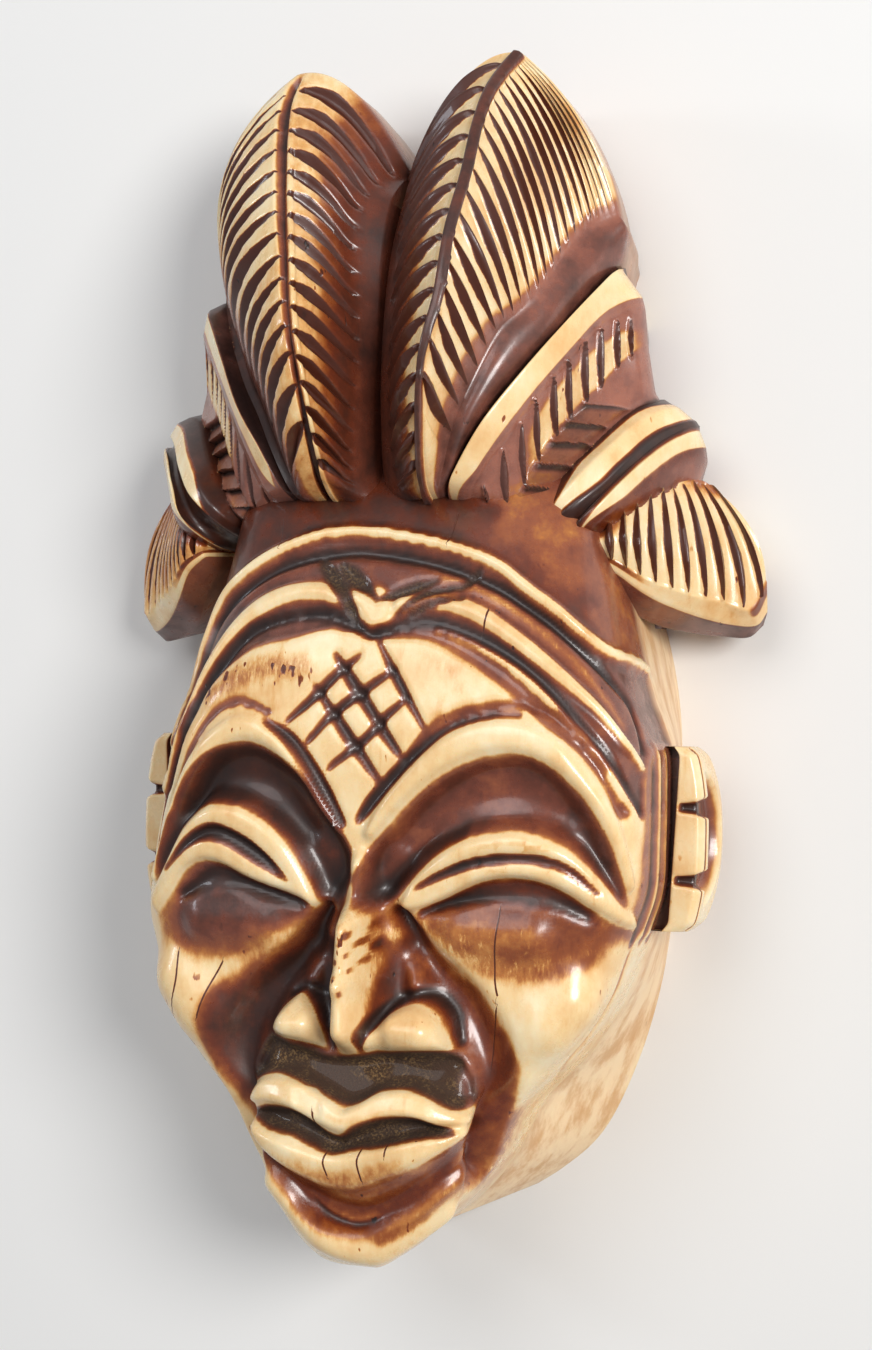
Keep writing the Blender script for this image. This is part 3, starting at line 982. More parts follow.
LOBE_LEFT = [
    (-4.8, 12.6, 17.0, -6.3, 12.6, 17.0, -6.8, 12.6, 16.4, -2.8, 12.4, 16.6, -1.0),
    (-4.3, 17.8, 21.9, -6.9, 14.2, 18.0, -7.6, 13.8, 17.2, -2.5, 15.2, 17.8, 0.5),
    (-4.9, 22.8, 23.4, -8.5, 17.3, 17.5, -9.3, 16.7, 16.6, -2.2, 19.4, 18.2, 2.5),
    (-5.6, 26.3, 23.0, -10.1, 19.8, 16.1, -10.9, 19.2, 15.2, -2.1, 22.8, 17.8, 4.3),
    (-6.4, 30.0, 21.7, -12.2, 22.6, 14.0, -13.0, 22.0, 13.2, -2.5, 26.2, 17.0, 6.4),
    (-7.4, 33.5, 19.9, -14.4, 26.1, 11.5, -15.1, 25.6, 11.0, -3.2, 29.6, 16.2, 8.3),
    (-8.4, 37.0, 17.8, -15.4, 28.0, 10.2, -16.0, 27.6, 9.8, -3.5, 33.0, 15.2, 10.3),
    (-9.2, 40.2, 15.9, -15.9, 29.0, 9.7, -16.4, 28.8, 9.3, -3.2, 35.4, 14.0, 12.0),
    (-9.7, 43.0, 14.1, -16.3, 29.9, 9.3, -16.6, 29.7, 9.0, -2.3, 36.9, 12.4, 13.6),
    (-9.5, 45.6, 12.4, -16.6, 31.0, 9.0, -16.8, 30.9, 8.8, -0.9, 38.2, 10.4, 15.6),
]
print("flutes of the lobes:", round(LOBE_RIGHT[-1][-1]), "and", round(LOBE_LEFT[-1][-1]))

# %% [markdown]
# All sheets of the crest end in the same kind of wall: it leans in towards the middle of the crest
# and goes down past the flat back, where it is planed off later. The tall lobes round over
# in four steps, and the lower sheets need only one.

# %% Walls of the crest
SIDE_LEAN, CREST_CENTRE_Y = 2.2, 16.0


def lean(depth, height):
    """A wall of the crest: the rim pulled towards the middle of the crest, at a height."""
    def wall(point, row, column):
        away = point[:, :2] - (0, CREST_CENTRE_Y)
        away /= np.linalg.norm(away, axis=1, keepdims=True)
        return np.column_stack([point[:, :2] - away * depth, np.minimum(point[:, 2] - 0.2, height)])
    return wall


ROUNDED_WALLS = [lean(0.25, 7.0), lean(0.9, 3.4), lean(1.6, 1.4), lean(SIDE_LEAN, -BACK_TRIM)]
PLAIN_WALLS = [lean(SIDE_LEAN, -BACK_TRIM)]
CREST_WALL = {"raw": 0.35, "stain": 0.46, "mauve": 0.4, "lens": 0.0}
print("walls of a lobe:", len(ROUNDED_WALLS), "rings")

# %% [markdown]
# The flutes curve as they leave the midrib. Two lines and a bend between them give each row of
# the sheet that sweep, and the first and last rows fall away in a quarter circle,
# so that no sheet ends in a sharp step.

# %% Sweep and rounded ends
def rounded_ends(place, foot, foot_drop, tip=0, tip_drop=0.0):
    """Lets the first and the last rows of a sheet fall away in a quarter circle."""
    row = np.arange(place.shape[0])
    for away, drop in ((1 - row / foot, foot_drop), (1 - row[::-1] / max(tip, 1), tip_drop)):
        away = np.clip(away, 0, 1)
        place[..., 2] -= (drop * (1 - np.sqrt(1 - away**2)))[:, None]
    return place


def sweep(start, end, t, spread_x, spread_y):
    """Bends from the start line to the end line, at the shares t of the way."""
    bend = np.stack([blend(start[:, 0], end[:, 0], spread_x), blend(start[:, 1], end[:, 1], spread_y)], -1)
    t = t[None, :, None]
    a, b, c = start[:, None, :2], bend[:, None], end[:, None, :2]
    flat = blend(blend(a, b, t), blend(b, c, t), t)
    z = blend(start[:, None, 2:], end[:, None, 2:], t**1.7)
    return np.concatenate([flat, z], -1)


print("helpers for the crest's sheets are ready")

# %% [markdown]
# A flute is a leaf-shaped cut. Its number is the phase: the cut lies where the phase is halfway
# between two whole numbers, and the lens is its half width as a share of the step.
# The same two numbers carve the flute here and draw its dark edge in the finish.

# %% Fine cuts
def lens_along(t, start, end, widest):
    """Half width of a leaf-shaped cut that opens and closes between two places."""
    t = np.clip((t - start) / (end - start), 0, 1)
    peak = np.where(t < widest, t / widest, (1 - t) / (1 - widest))
    return np.clip(peak, 0, 1) ** 0.55


def off_middle(phase):
    """How far a phase is from the middle of its cut: 0 in the cut, 0.5 on the rib."""
    return np.abs(phase - np.floor(phase) - 0.5)


def cut_depth(phase, lens):
    """Depth of a row of cuts, one for each whole step of the phase."""
    return np.where(lens > 0.01, np.clip(1 - off_middle(phase) / np.maximum(lens, 0.01), 0, 1), 0) ** 0.8


print("a flute is deepest at its middle:", cut_depth(np.array([0.5]), np.array([0.3])))

# %% [markdown]
# Across a lobe the sheet has four zones: the floor of the valley, the inner face with its short
# flutes, the outer face with the long ones, and the smooth border. Each row runs through all four,
# so the zones share their edges and no seam opens between them.

# %% The four zones of a lobe
VALLEY_X = -1.05
LOBE_ROWS = 178
FLOOR_COLUMNS, INNER_COLUMNS, OUTER_COLUMNS, BORDER_COLUMNS = 7, 43, 60, 8
FLOOR, INNER, OUTER, BORDER = range(4)


def lobe_zones(lines, s, spread):
    """Places of a lobe's sheet, their way t along the flutes, and the zone of each."""
    rib, end, border, valley = (lines[:, k:k + 3] for k in (0, 3, 6, 9))
    floor_z = valley[:, 2] - 2.6 * (1 - s) - 0.6
    floor = np.column_stack([np.full(len(s), VALLEY_X), valley[:, 1] - 0.2, floor_z])
    t_in = np.linspace(1, 0, INNER_COLUMNS + 1)[:-1] ** 1.1
    t_out = np.linspace(0, 1, OUTER_COLUMNS) ** 1.1
    up = np.linspace(0, 1, FLOOR_COLUMNS + 1)[:-1][None, :, None]
    out = np.linspace(0, 1, BORDER_COLUMNS + 1)[1:][None, :, None]
    inner = sweep(rib, valley, t_in, 0.5, blend(0.22, -0.15, s**2))
    outer = sweep(rib, end, t_out, blend(0.68, spread, s**2), blend(0.47, 0.38, s))
    low, high = blend(floor[:, None], valley[:, None], up), blend(end[:, None], border[:, None], out)
    t = np.concatenate([np.full(FLOOR_COLUMNS, 1.0), t_in, t_out, np.full(BORDER_COLUMNS, 1.0)])
    zone = np.repeat([FLOOR, INNER, OUTER, BORDER], [FLOOR_COLUMNS, INNER_COLUMNS, OUTER_COLUMNS,
                                                     BORDER_COLUMNS])
    return np.concatenate([low, inner, outer, high], 1), t[None] + 0 * s[:, None], zone[None] + 0 * s[:, None]


print("columns across a lobe:", FLOOR_COLUMNS + INNER_COLUMNS + OUTER_COLUMNS + BORDER_COLUMNS)

# %% [markdown]
# On the zones go the cuts: flutes with slightly rounded ribs between them, a cove in the border,
# and a groove along the midrib with a thin bright ledge beside it. Each zone brings its own
# ground, because the carver left the outer face cream and the valley dark.

# %% One crest lobe
FLUTE_DEPTH, RIB_HEIGHT, COVE_DEPTH, MIDRIB_DEPTH, LEDGE_HEIGHT = 0.5, 0.14, 0.45, 0.6, 0.14


def lobe(name, table, spread, inner_pitch, flute, grounds):
    """One crest lobe. The spread says how far its outer flutes swing out at the foot and at the tip."""
    s = np.linspace(0, 1, LOBE_ROWS + 1)
    lines = smooth_line(table, s)
    rib = lines[:, :3]
    place, t, zone = lobe_zones(lines, s, spread)
    s = s[:, None] + 0 * t
    phase = np.where(zone == OUTER, lines[:, 12:], rib[:, 1:2] / inner_pitch)
    lens = np.where(zone == OUTER, flute * lens_along(t, 0.02, 0.98, 0.45) * step_up(-0.1, 0.3, phase), 0.0)
    lens = np.where(zone == INNER, 0.34 * lens_along(t, 0.08, 1.05, 0.35) * step_up(0.03, 0.08, s), lens)
    lens *= step_up(1.0, 0.985, s)
    depth = -FLUTE_DEPTH * cut_depth(phase, lens) * np.sqrt(lens / 0.25)
    belly = np.where((zone == INNER) | (zone == OUTER), lens_along(t, 0.0, 1.0, 0.5), 0) * (lens > 0.02)
    depth += RIB_HEIGHT * belly * np.sin(np.pi * off_middle(phase))
    cove = np.sin(np.pi * np.linspace(0, 1, BORDER_COLUMNS + 1)[1:])
    cove = np.concatenate([np.zeros(place.shape[1] - BORDER_COLUMNS), cove])
    depth -= COVE_DEPTH * cove * step_up(0.0, 0.15, s)
    from_rib = np.linalg.norm(place - rib[:, None], axis=-1)
    groove_half = blend(0.3, 0.6, s[:, :1])
    in_groove = step_up(groove_half, groove_half * 0.5, from_rib) * step_up(1.0, 0.97, s)
    depth -= MIDRIB_DEPTH * in_groove
    ledge = np.where(zone == INNER, step_up(0.3, 0.12, np.abs(from_rib - groove_half - 0.2)), 0)
    ledge *= step_up(0.97, 0.8, s)
    depth += LEDGE_HEIGHT * ledge
    stain, mauve = np.zeros_like(t), np.zeros_like(t)
    for number, ground in enumerate(grounds):
        tone, tint = ground(s, t)
        stain, mauve = np.where(zone == number, tone, stain), np.where(zone == number, tint, mauve)
    stain, mauve = softened(stain, 3), softened(mauve, 3)
    stain, mauve = blend(stain, 0.72, in_groove), blend(mauve, 0.4, in_groove)
    stain = blend(stain, 0.2, ledge * 0.8)
    eased = np.clip(1 - np.abs(np.arange(place.shape[1]) - FLOOR_COLUMNS) / 16, 0, 1)[None, :, None]
    place = blend(place, softened(place, 14, axes=(1,)), eased)
    place = rounded_ends(place + outward(place) * depth[..., None], 9, 2.4)
    fields = {"stain": stain, "mauve": mauve, "phase": phase, "lens": lens}
    if table[0][3] < 0:
        place, fields = place[:, ::-1], {key: grid[:, ::-1] for key, grid in fields.items()}
    return closed_sheet(name, place, ROUNDED_WALLS, fields, CREST_WALL)


print("flutes are", FLUTE_DEPTH, "mm deep, the midrib groove", MIDRIB_DEPTH, "mm")

# %% [markdown]
# A ground gives the stain and the mauve of one zone, from s, the way up the lobe, and t, the way along
# the flute. The right lobe was rubbed back to cream, and the left one lies dusky.

# %% Grounds, and both lobes
def dark_floor(s, t):
    return 0.66 + 0 * s, 0.25 + 0 * s


def ivory_inner(s, t):
    return blend(0.15, 0.68, step_up(0.3, 0.9, t)) + 0.08 * step_up(0.4, 0.1, s), 0.1 * step_up(0.4, 0.9, t)


def amber_inner(s, t):
    return blend(0.24, 0.62, step_up(0.4, 0.95, t)) + 0.08 * step_up(0.4, 0.1, s), 0.1 * step_up(0.5, 0.9, t)


def cream_outer(s, t):
    low = step_up(0.62, 0.3, s)
    end = step_up(blend(0.86, 0.66, low), blend(1.0, 0.95, low), t)
    return BONE + 0.07 * low + 0.42 * end + 0.1 * step_up(0.3, 0.0, t) * low, end


def dusky_outer(s, t):
    low = step_up(0.75, 0.3, s)
    return 0.15 + 0.12 * low + 0.4 * step_up(0.45, 1.0, t) * step_up(1.0, 0.7, s), 0.6 * step_up(0.3, 1.0, t)


def mauve_strip(s, t):
    return 0.62 + 0 * s, 0.7 + 0 * s


def dark_strip(s, t):
    return 0.8 + 0 * s, 0.6 + 0 * s


lobes = [
    lobe("lobe_right", LOBE_RIGHT, spread=0.79, inner_pitch=2.0, flute=0.31,
         grounds=(dark_floor, ivory_inner, cream_outer, mauve_strip)),
    lobe("lobe_left", LOBE_LEFT, spread=1.25, inner_pitch=1.8, flute=0.39,
         grounds=(dark_floor, amber_inner, dusky_outer, dark_strip)),
]
print("lobes:", len(lobes))

# %% [markdown]
# Below each lobe lie two tiers. The upper one is a broad cream ridge above a recess with a row of
# upright cuts and a row of stair-like notches. The lower one is two cream ridges with a dark
# channel between them. Each is a stack of leading lines, and the sheet runs smoothly across them.

# %% Lines of the tiers
UPPER_RIGHT = [
    [(3.3, 12.6, 14.2), (6.6, 18.2, 14.4), (10.4, 24.0, 11.6), (14.6, 30.6, 8.0)],
    [(4.1, 12.5, 16.2), (6.9, 17.4, 17.0), (11.0, 23.4, 14.6), (15.5, 30.6, 9.2)],
    [(4.4, 12.5, 17.2), (5.5, 14.3, 18.1), (7.7, 17.9, 18.5), (10.2, 21.7, 17.1), (12.7, 25.6, 14.6),
     (15.5, 30.3, 10.4)],
    [(5.4, 12.3, 16.8), (7.5, 15.2, 17.7), (10.4, 19.6, 16.7), (13.1, 23.8, 14.2), (15.0, 27.0, 11.2),
     (16.9, 28.3, 9.6)],
    [(5.8, 12.2, 15.9), (7.7, 14.8, 16.8), (10.8, 19.3, 15.7), (13.3, 23.4, 13.2), (15.2, 26.3, 10.4),
     (17.0, 27.5, 9.0)],
    [(7.6, 11.6, 14.9), (9.2, 12.8, 15.0), (11.5, 16.6, 14.2), (13.7, 20.2, 12.0), (15.5, 23.3, 9.6),
     (17.1, 24.9, 8.4)],
    [(9.2, 11.4, 14.2), (10.6, 12.8, 14.0), (13.2, 16.2, 12.7), (15.4, 19.4, 10.4), (17.6, 21.4, 7.8)],
    [(10.2, 11.0, 12.8), (11.8, 12.8, 12.6), (14.0, 15.6, 11.4), (16.2, 18.8, 9.2), (18.0, 20.6, 7.0)],
]
UPPER_LEFT = [
    [(-6.6, 12.8, 14.4), (-9.3, 17.6, 14.6), (-13.0, 22.8, 11.4), (-16.4, 29.4, 8.0)],
    [(-7.0, 12.7, 16.6), (-9.5, 16.8, 16.8), (-13.2, 22.0, 13.4), (-17.0, 29.2, 9.0)],
    [(-7.6, 12.6, 17.2), (-9.4, 16.4, 18.3), (-11.7, 19.5, 17.2), (-14.7, 23.8, 13.8), (-17.8, 28.4, 10.2)],
    [(-9.0, 12.5, 16.9), (-11.2, 16.9, 17.1), (-13.2, 19.9, 15.4), (-16.0, 23.4, 12.2), (-18.5, 26.8, 9.4)],
    [(-9.4, 12.3, 16.0), (-11.5, 16.2, 16.2), (-13.6, 19.4, 14.4), (-16.2, 22.8, 11.2), (-18.6, 25.9, 8.8)],
    [(-10.8, 11.8, 15.0), (-12.6, 14.0, 14.8), (-14.6, 16.8, 13.2), (-16.8, 20.0, 10.4), (-18.5, 22.4, 8.3)],
    [(-12.2, 11.4, 14.2), (-13.8, 13.0, 14.0), (-15.6, 15.4, 12.4), (-17.6, 18.0, 10.0), (-19.2, 20.2, 7.8)],
    [(-12.8, 11.0, 12.8), (-14.4, 12.6, 12.6), (-16.2, 14.8, 11.2), (-18.0, 17.2, 9.0), (-19.6, 19.4, 7.0)],
]
LOWER_RIGHT = [
    [(9.4, 11.2, 11.6), (12.0, 15.0, 11.0), (14.4, 18.6, 9.0), (17.8, 21.2, 5.8)],
    [(10.0, 10.9, 13.6), (12.3, 14.6, 13.1), (14.7, 17.7, 11.1), (16.9, 20.2, 8.6), (18.6, 20.7, 7.2)],
    [(10.5, 10.6, 14.6), (13.1, 13.6, 14.6), (15.5, 16.6, 12.7), (17.5, 19.1, 9.9), (19.4, 20.3, 7.8)],
    [(11.3, 10.0, 14.4), (13.8, 12.5, 14.5), (16.3, 15.7, 12.6), (18.3, 18.2, 9.9), (20.3, 19.5, 7.2)],
    [(12.1, 9.7, 13.6), (14.5, 11.9, 13.5), (16.9, 15.0, 11.6), (18.8, 17.4, 8.9), (20.6, 18.9, 6.6)],
    [(12.6, 9.5, 14.2), (15.2, 12.1, 14.5), (17.3, 14.9, 12.4), (19.2, 17.2, 9.6), (20.9, 18.5, 7.0)],
    [(13.5, 9.3, 13.8), (16.0, 11.9, 13.6), (17.9, 14.5, 11.4), (19.8, 16.7, 8.6), (21.2, 17.5, 6.4)],
    [(14.8, 9.4, 12.4), (16.6, 11.6, 12.0), (18.5, 13.9, 9.6), (20.3, 15.8, 7.2), (21.2, 16.4, 5.6)],
    [(15.2, 9.0, 11.0), (17.2, 11.2, 10.4), (19.0, 13.2, 8.4), (20.8, 15.0, 5.6)],
]
print("leading lines:", len(UPPER_RIGHT), "for an upper tier,", len(LOWER_RIGHT), "for a lower one")

# %% [markdown]
# A tier is a sheet across its leading lines. The left lower tier and the left wing are in shade on the
# photograph, so they take the right side's lines, mirrored about the crest's own middle and
# pulled in, because the crest is narrower there.

# %% Sheets across leading lines
LEFT_MIDDLE = -1.3
PULL_FROM_X = 13.5


def across_lines(lines, rows, columns, passes):
    """A grid across a stack of leading lines, and the line number at each column."""
    stack = np.array([smooth_line(line, np.linspace(0, 1, rows + 1)) for line in lines])
    at = np.linspace(0, len(lines) - 1, columns + 1)
    k = np.minimum(at.astype(int), len(lines) - 2)
    place = np.moveaxis(blend(stack[k], stack[k + 1], (at - k)[:, None, None]), 0, 1)
    return softened(place, passes, axes=(1,)), at[None] + np.zeros((rows + 1, 1))


def crest_sheet(name, place, fields, drops):
    """A sheet of the crest with rounded ends. On the left its columns are turned round."""
    place = rounded_ends(place, *drops)
    fields = {key: np.broadcast_to(grid, place.shape[:2]) for key, grid in fields.items()}
    if place[..., 0].mean() < 0:
        place, fields = place[:, ::-1], {key: grid[:, ::-1] for key, grid in fields.items()}
    return closed_sheet(name, place, PLAIN_WALLS, fields, CREST_WALL)


def over_to_left(lines, pull=0.0):
    """The right side's lines on the left, mirrored about the crest's own middle and pulled in outwards."""
    return [[(2 * LEFT_MIDDLE - x + pull * max(0, x - PULL_FROM_X), y - 0.08 * max(0, x - 14), z)
             for x, y, z in line] for line in lines]


print("the left side turns about x =", LEFT_MIDDLE, "mm")

# %% [markdown]
# In the recess of an upper tier stand the upright cuts, one for each step of their row, and below them
# the stairs, whose treads darken towards each riser. The uprights get a phase and a lens
# like the flutes. The stairs are cut from the level alone.

# %% Upper tiers
UPPER_ROWS, UPPER_COLUMNS = 120, 104
UPRIGHT_X = (7.3, 8.8, 10.0, 10.9, 11.95, 12.75, 13.65, 14.45, 15.4, 16.25, 17.05)
UPRIGHT_TOP = (13.7, 16.2, 18.1, 19.9, 21.7, 23.2, 24.5, 25.6, 26.4, 26.5, 26.5)
UPRIGHT_FOOT = (11.5, 11.9, 13.7, 15.6, 17.5, 18.7, 20.1, 21.2, 22.9, 23.8, 24.6)
STAIR_LEVELS = (11.0, 12.4, 13.8, 15.4, 17.0, 18.4, 20.0)


def upper_tier(name, lines, ridge_from=1.55, ridge_to=3.1):
    place, at = across_lines(lines, UPPER_ROWS, UPPER_COLUMNS, 3)
    s = np.linspace(0, 1, UPPER_ROWS + 1)[:, None] + 0 * at
    x, y = place[..., 0], place[..., 1]
    if x.mean() < 0:
        x, y = 2 * LEFT_MIDDLE - x, y + 0.25 * np.maximum(0, -x - 15)
    pinch = step_up(0.16, 0.0, s)
    ridge = step_up(ridge_from, ridge_from + 0.3, at - 0.5 * pinch)
    ridge *= step_up(ridge_to + 0.1, ridge_to - 0.15, at + 0.5 * pinch)
    stain, mauve = blend(np.where(at < 2, 0.8, 0.46), BONE, ridge), blend(0.9, 0.0, ridge)
    line = step_up(0.2, 0.06, np.abs(at - 3.62))
    stain = blend(stain, 0.4, line)
    top, foot = np.interp(x, UPRIGHT_X, UPRIGHT_TOP), np.interp(x, UPRIGHT_X, UPRIGHT_FOOT)
    down = (top - y) / (top - foot)
    phase = np.interp(x, UPRIGHT_X, np.arange(len(UPRIGHT_X)) + 0.5, left=0, right=len(UPRIGHT_X))
    lens = 0.24 * lens_along(down, -0.04, 1.04, 0.45) * step_up(6.9, 7.1, x) * step_up(16.7, 16.5, x)
    lens *= at > 3.3
    depth = -0.55 * cut_depth(phase, lens)
    step = np.interp(y, STAIR_LEVELS, np.arange(len(STAIR_LEVELS)))
    tread = step - np.floor(step)
    stairs = step_up(foot + 0.35, foot - 0.05, y) * step_up(20.0, 19.8, y) * (at > 4.2) * step_up(11.0, 11.4,
                                                                                                  y)
    stairs *= step_up(6.5, 5.8, at)
    depth -= 0.7 * tread * stairs
    stain = blend(stain, blend(0.42, 1.0, step_up(0.6, 0.92, tread)), stairs)
    mauve = blend(mauve, 0.5, stairs)
    pale = step_up(0.15, 0.4, down) * step_up(1.05, 0.85, down) * step_up(9.4, 11.6, x) * step_up(17.6, 15.8,
                                                                                                  x)
    stain = blend(stain, 0.14, pale * 0.85)
    deep = step_up(6.25, 6.8, at)
    stain = blend(stain, 0.85, deep)
    place = place + outward(place) * depth[..., None]
    fields = {"stain": stain, "mauve": mauve * (1 - 0.8 * pale), "grit": 0.2 * stairs * (1 - deep),
              "phase": phase, "lens": lens}
    return crest_sheet(name, place, fields, (12, 3.4, 7, 1.2))


tiers = [upper_tier("upper_tier_right", UPPER_RIGHT), upper_tier("upper_tier_left", UPPER_LEFT, 1.85, 2.75)]
print("upright cuts on a tier:", len(UPRIGHT_X), "and stairs:", len(STAIR_LEVELS) - 1)

# %% [markdown]
# The lower tiers are plainer: two cream ridges and the dark channel between them. Towards their
# lower ends the ridges pinch together, as they do on the photograph.

# %% Lower tiers
LOWER_ROWS, LOWER_COLUMNS = 72, 90


def lower_tier(name, lines, ridge_from=1.25):
    place, at = across_lines(lines, LOWER_ROWS, LOWER_COLUMNS, 2)
    s = np.linspace(0, 1, LOWER_ROWS + 1)[:, None]
    pinch = 0.75 * step_up(0.42, 0.12, s)
    first = step_up(ridge_from, ridge_from + 0.25, at - pinch) * step_up(3.2, 2.95, at + 0.6 * pinch)
    second = step_up(4.55, 4.85, at - 0.6 * pinch) * step_up(6.2, 5.95, at + pinch)
    channel = step_up(3.0, 3.3, at + 0.6 * pinch) * step_up(4.75, 4.45, at - 0.6 * pinch)
    stain = blend(blend(0.55, 0.9, channel), BONE, np.maximum(first, second))
    stain = np.where(at < ridge_from + pinch, 0.8, stain)
    mauve = 0.7 * step_up(6.2, 7.0, at) * step_up(0.3, 0.7, s)
    depth = -0.3 * channel
    place = place + outward(place) * depth[..., None]
    return crest_sheet(name, place, {"stain": stain, "mauve": mauve}, (14, 4.6, 7, 1.2))


tiers += [lower_tier("lower_tier_right", LOWER_RIGHT),
          lower_tier("lower_tier_left", over_to_left(LOWER_RIGHT, 0.1), 1.85)]
print("tiers:", len(tiers))

# %% [markdown]
# At the end of each stack a small wing fans out. Each row of its table is one flute again:
# where it starts at the lower tier, where it ends near the rim, and the rim below it.
# A dark bevel turns under the rim to the side of the head.

# %% Wings
WING_ROWS = [
    (13.8, 9.9, 12.4, 13.8, 9.3, 12.7, 13.7, 8.9, 12.6, 13.4, 8.0, 10.0),
    (15.7, 11.6, 12.1, 16.0, 8.6, 12.6, 15.9, 7.9, 12.2, 15.2, 6.2, 9.4),
    (17.7, 13.4, 10.1, 18.4, 7.2, 11.1, 18.3, 6.1, 10.4, 17.6, 4.2, 7.2),
    (19.4, 14.5, 7.9, 21.2, 6.2, 9.0, 21.1, 4.8, 7.8, 20.4, 3.5, 4.8),
    (20.4, 14.9, 7.0, 23.2, 5.8, 7.4, 23.4, 4.2, 6.0, 22.6, 3.3, 3.9),
    (21.2, 14.9, 6.4, 25.2, 5.3, 6.2, 25.2, 4.2, 4.6, 24.4, 3.3, 3.5),
    (22.0, 14.4, 6.1, 26.0, 7.4, 5.2, 25.9, 5.2, 4.2, 25.4, 4.2, 3.2),
]
WING_FLUTES = 11.6
FAN_ROWS, FAN_COLUMNS, LIP_COLUMNS = 120, 60, 12
ON_LIP, ON_BEVEL = 1.3, 2.0


def wing(name, table, dusk=0.0):
    s = np.linspace(0, 1, FAN_ROWS + 1)
    lines = smooth_line(table, s)
    inner, end, rim, under = (lines[:, k:k + 3] for k in (0, 3, 6, 9))
    t = np.linspace(0, 1, FAN_COLUMNS + 1)
    flutes = sweep(inner, end, t, blend(0.6, 1.0, np.minimum(1, s * 2)), 0.43)
    flutes[..., 2] += 1.1 * np.sin(math.pi * t)[None] * np.sin(math.pi * np.minimum(1, s + 0.1))[:, None]
    over = np.linspace(0, 1, LIP_COLUMNS + 1)[1:][None, :, None]
    lip, bevel = blend(end[:, None], rim[:, None], over), blend(rim[:, None], under[:, None], over)
    place = np.concatenate([flutes, lip, bevel], 1)
    t = np.concatenate([t, np.linspace(1, ON_LIP, LIP_COLUMNS + 1)[1:], np.full(LIP_COLUMNS, ON_BEVEL)])
    t = t[None] + 0 * s[:, None]
    s = s[:, None] + 0 * t
    phase = s * WING_FLUTES - 0.4
    lens = blend(0.34, 0.27, step_up(0.2, 0.6, s)) * lens_along(t, 0.02, 1.0, 0.6) * step_up(0.1, 0.4, phase)
    lens *= t < 1.01
    depth = -0.48 * cut_depth(phase, lens) + 0.12 * np.sin(np.pi * off_middle(phase)) * (lens > 0.02)
    spots = step_up(0.95, 1.02, t) * step_up(1.16, 1.1, t) * (step_up(0.5, 0.2, s) + step_up(0.86, 0.9, s))
    stain = BONE + 0.06 + 0.24 * spots + dusk * step_up(1.1, 0.9, t)
    stain += 0.25 * step_up(0.25, 0.0, t) * step_up(0.5, 0.9, s)
    stain += 0.34 * step_up(0.7, 0.2, t) * step_up(0.36, 0.1, s)
    mauve = 0.7 * step_up(0.3, 0.0, t)
    stain, mauve = np.where(t == ON_BEVEL, blend(0.4, 0.66, s), stain), np.where(t == ON_BEVEL, 0.4, mauve)
    place = softened(place, 2, axes=(1,))
    place = place + outward(place) * depth[..., None]
    return crest_sheet(name, place, {"stain": stain, "mauve": mauve, "phase": phase, "lens": lens}, (3, 0.5))


wing_left = over_to_left([[row[k:k + 3] for k in (0, 3, 6, 9)] for row in WING_ROWS], 0.3)
wings = [wing("wing_right", WING_ROWS), wing("wing_left", [sum(row, ()) for row in wing_left], 0.12)]
print("flutes of a wing:", int(WING_FLUTES))

# %% [markdown]
# Between the lobes and the flat back the sheets would leave the inside hollow. A low core, one half
# for each side, fills it. Nothing of it shows from the front.

# %% Core under the crest
CORE_MIDDLE = [(-0.3, 8, 8), (-0.3, 22, 9), (-0.3, 34.5, 8)]
CORE_OUTLINE = [(17.0, 3.5, 3.5), (19.5, 9.5, 3.5), (17.6, 15.0, 4.5), (15.6, 20.5, 6.0), (14.8, 26.5, 7.5),
                (12.0, 33.0, 8.5), (6.0, 37.0, 8.5)]


def core(hand):
    s = np.linspace(0, 1, 25)
    middle, outline = smooth_line(CORE_MIDDLE, s), smooth_line(CORE_OUTLINE, s)
    place = blend(middle[:, None], outline[:, None], np.linspace(0, 1, 9)[None, :, None])
    down = [lambda point, row, column: np.column_stack([point[:, :2], np.full(len(point), -BACK_TRIM)])]
    if hand < 0:
        place = place[:, ::-1] * (-1, 1, 1)
    return closed_sheet("core", place, down, {"stain": np.full(place.shape[:2], 0.6)}, CREST_WALL)


cores = [core(1), core(-1)]
print("halves of the core:", len(cores))

# %% [markdown]
# On the real mask all of this is one piece, so the sheets are joined with Boolean unions.
# The back is then planed flat, and a shallow bowl is scooped out behind the face,
# as carvers do to keep thick bone from cracking.

# %% Tools for the back
BOWL_Y, BOWL_SIZE = -12, (11.5, 19.0, 9.5)


def cutter(name, mesh, size, centre):
    bmesh.ops.scale(mesh, vec=Vector(size) * MM, verts=mesh.verts)
    bmesh.ops.translate(mesh, vec=Vector(centre) * MM, verts=mesh.verts)
    data = mesh_data(name, mesh)
    for field in STAIN_FIELDS:
        value = {"raw": 1.0, "stain": 0.22}.get(field, 0.0)
        data.attributes.new(field, "FLOAT", "POINT").data.foreach_set("value", np.full(len(data.vertices),
                                                                                       value))
    return in_scene(name, data)


def plane_block():
    mesh = bmesh.new()
    bmesh.ops.create_cube(mesh, size=1)
    return cutter("plane_block", mesh, (150, 150, 4), (0, 0, -2))


def bowl():
    mesh = bmesh.new()
    bmesh.ops.create_uvsphere(mesh, u_segments=96, v_segments=48, radius=1)
    return cutter("bowl", mesh, BOWL_SIZE, (0, BOWL_Y, 0))


print("the bowl is", [2 * c for c in BOWL_SIZE[:2]], "mm wide and long and", BOWL_SIZE[2], "mm deep")

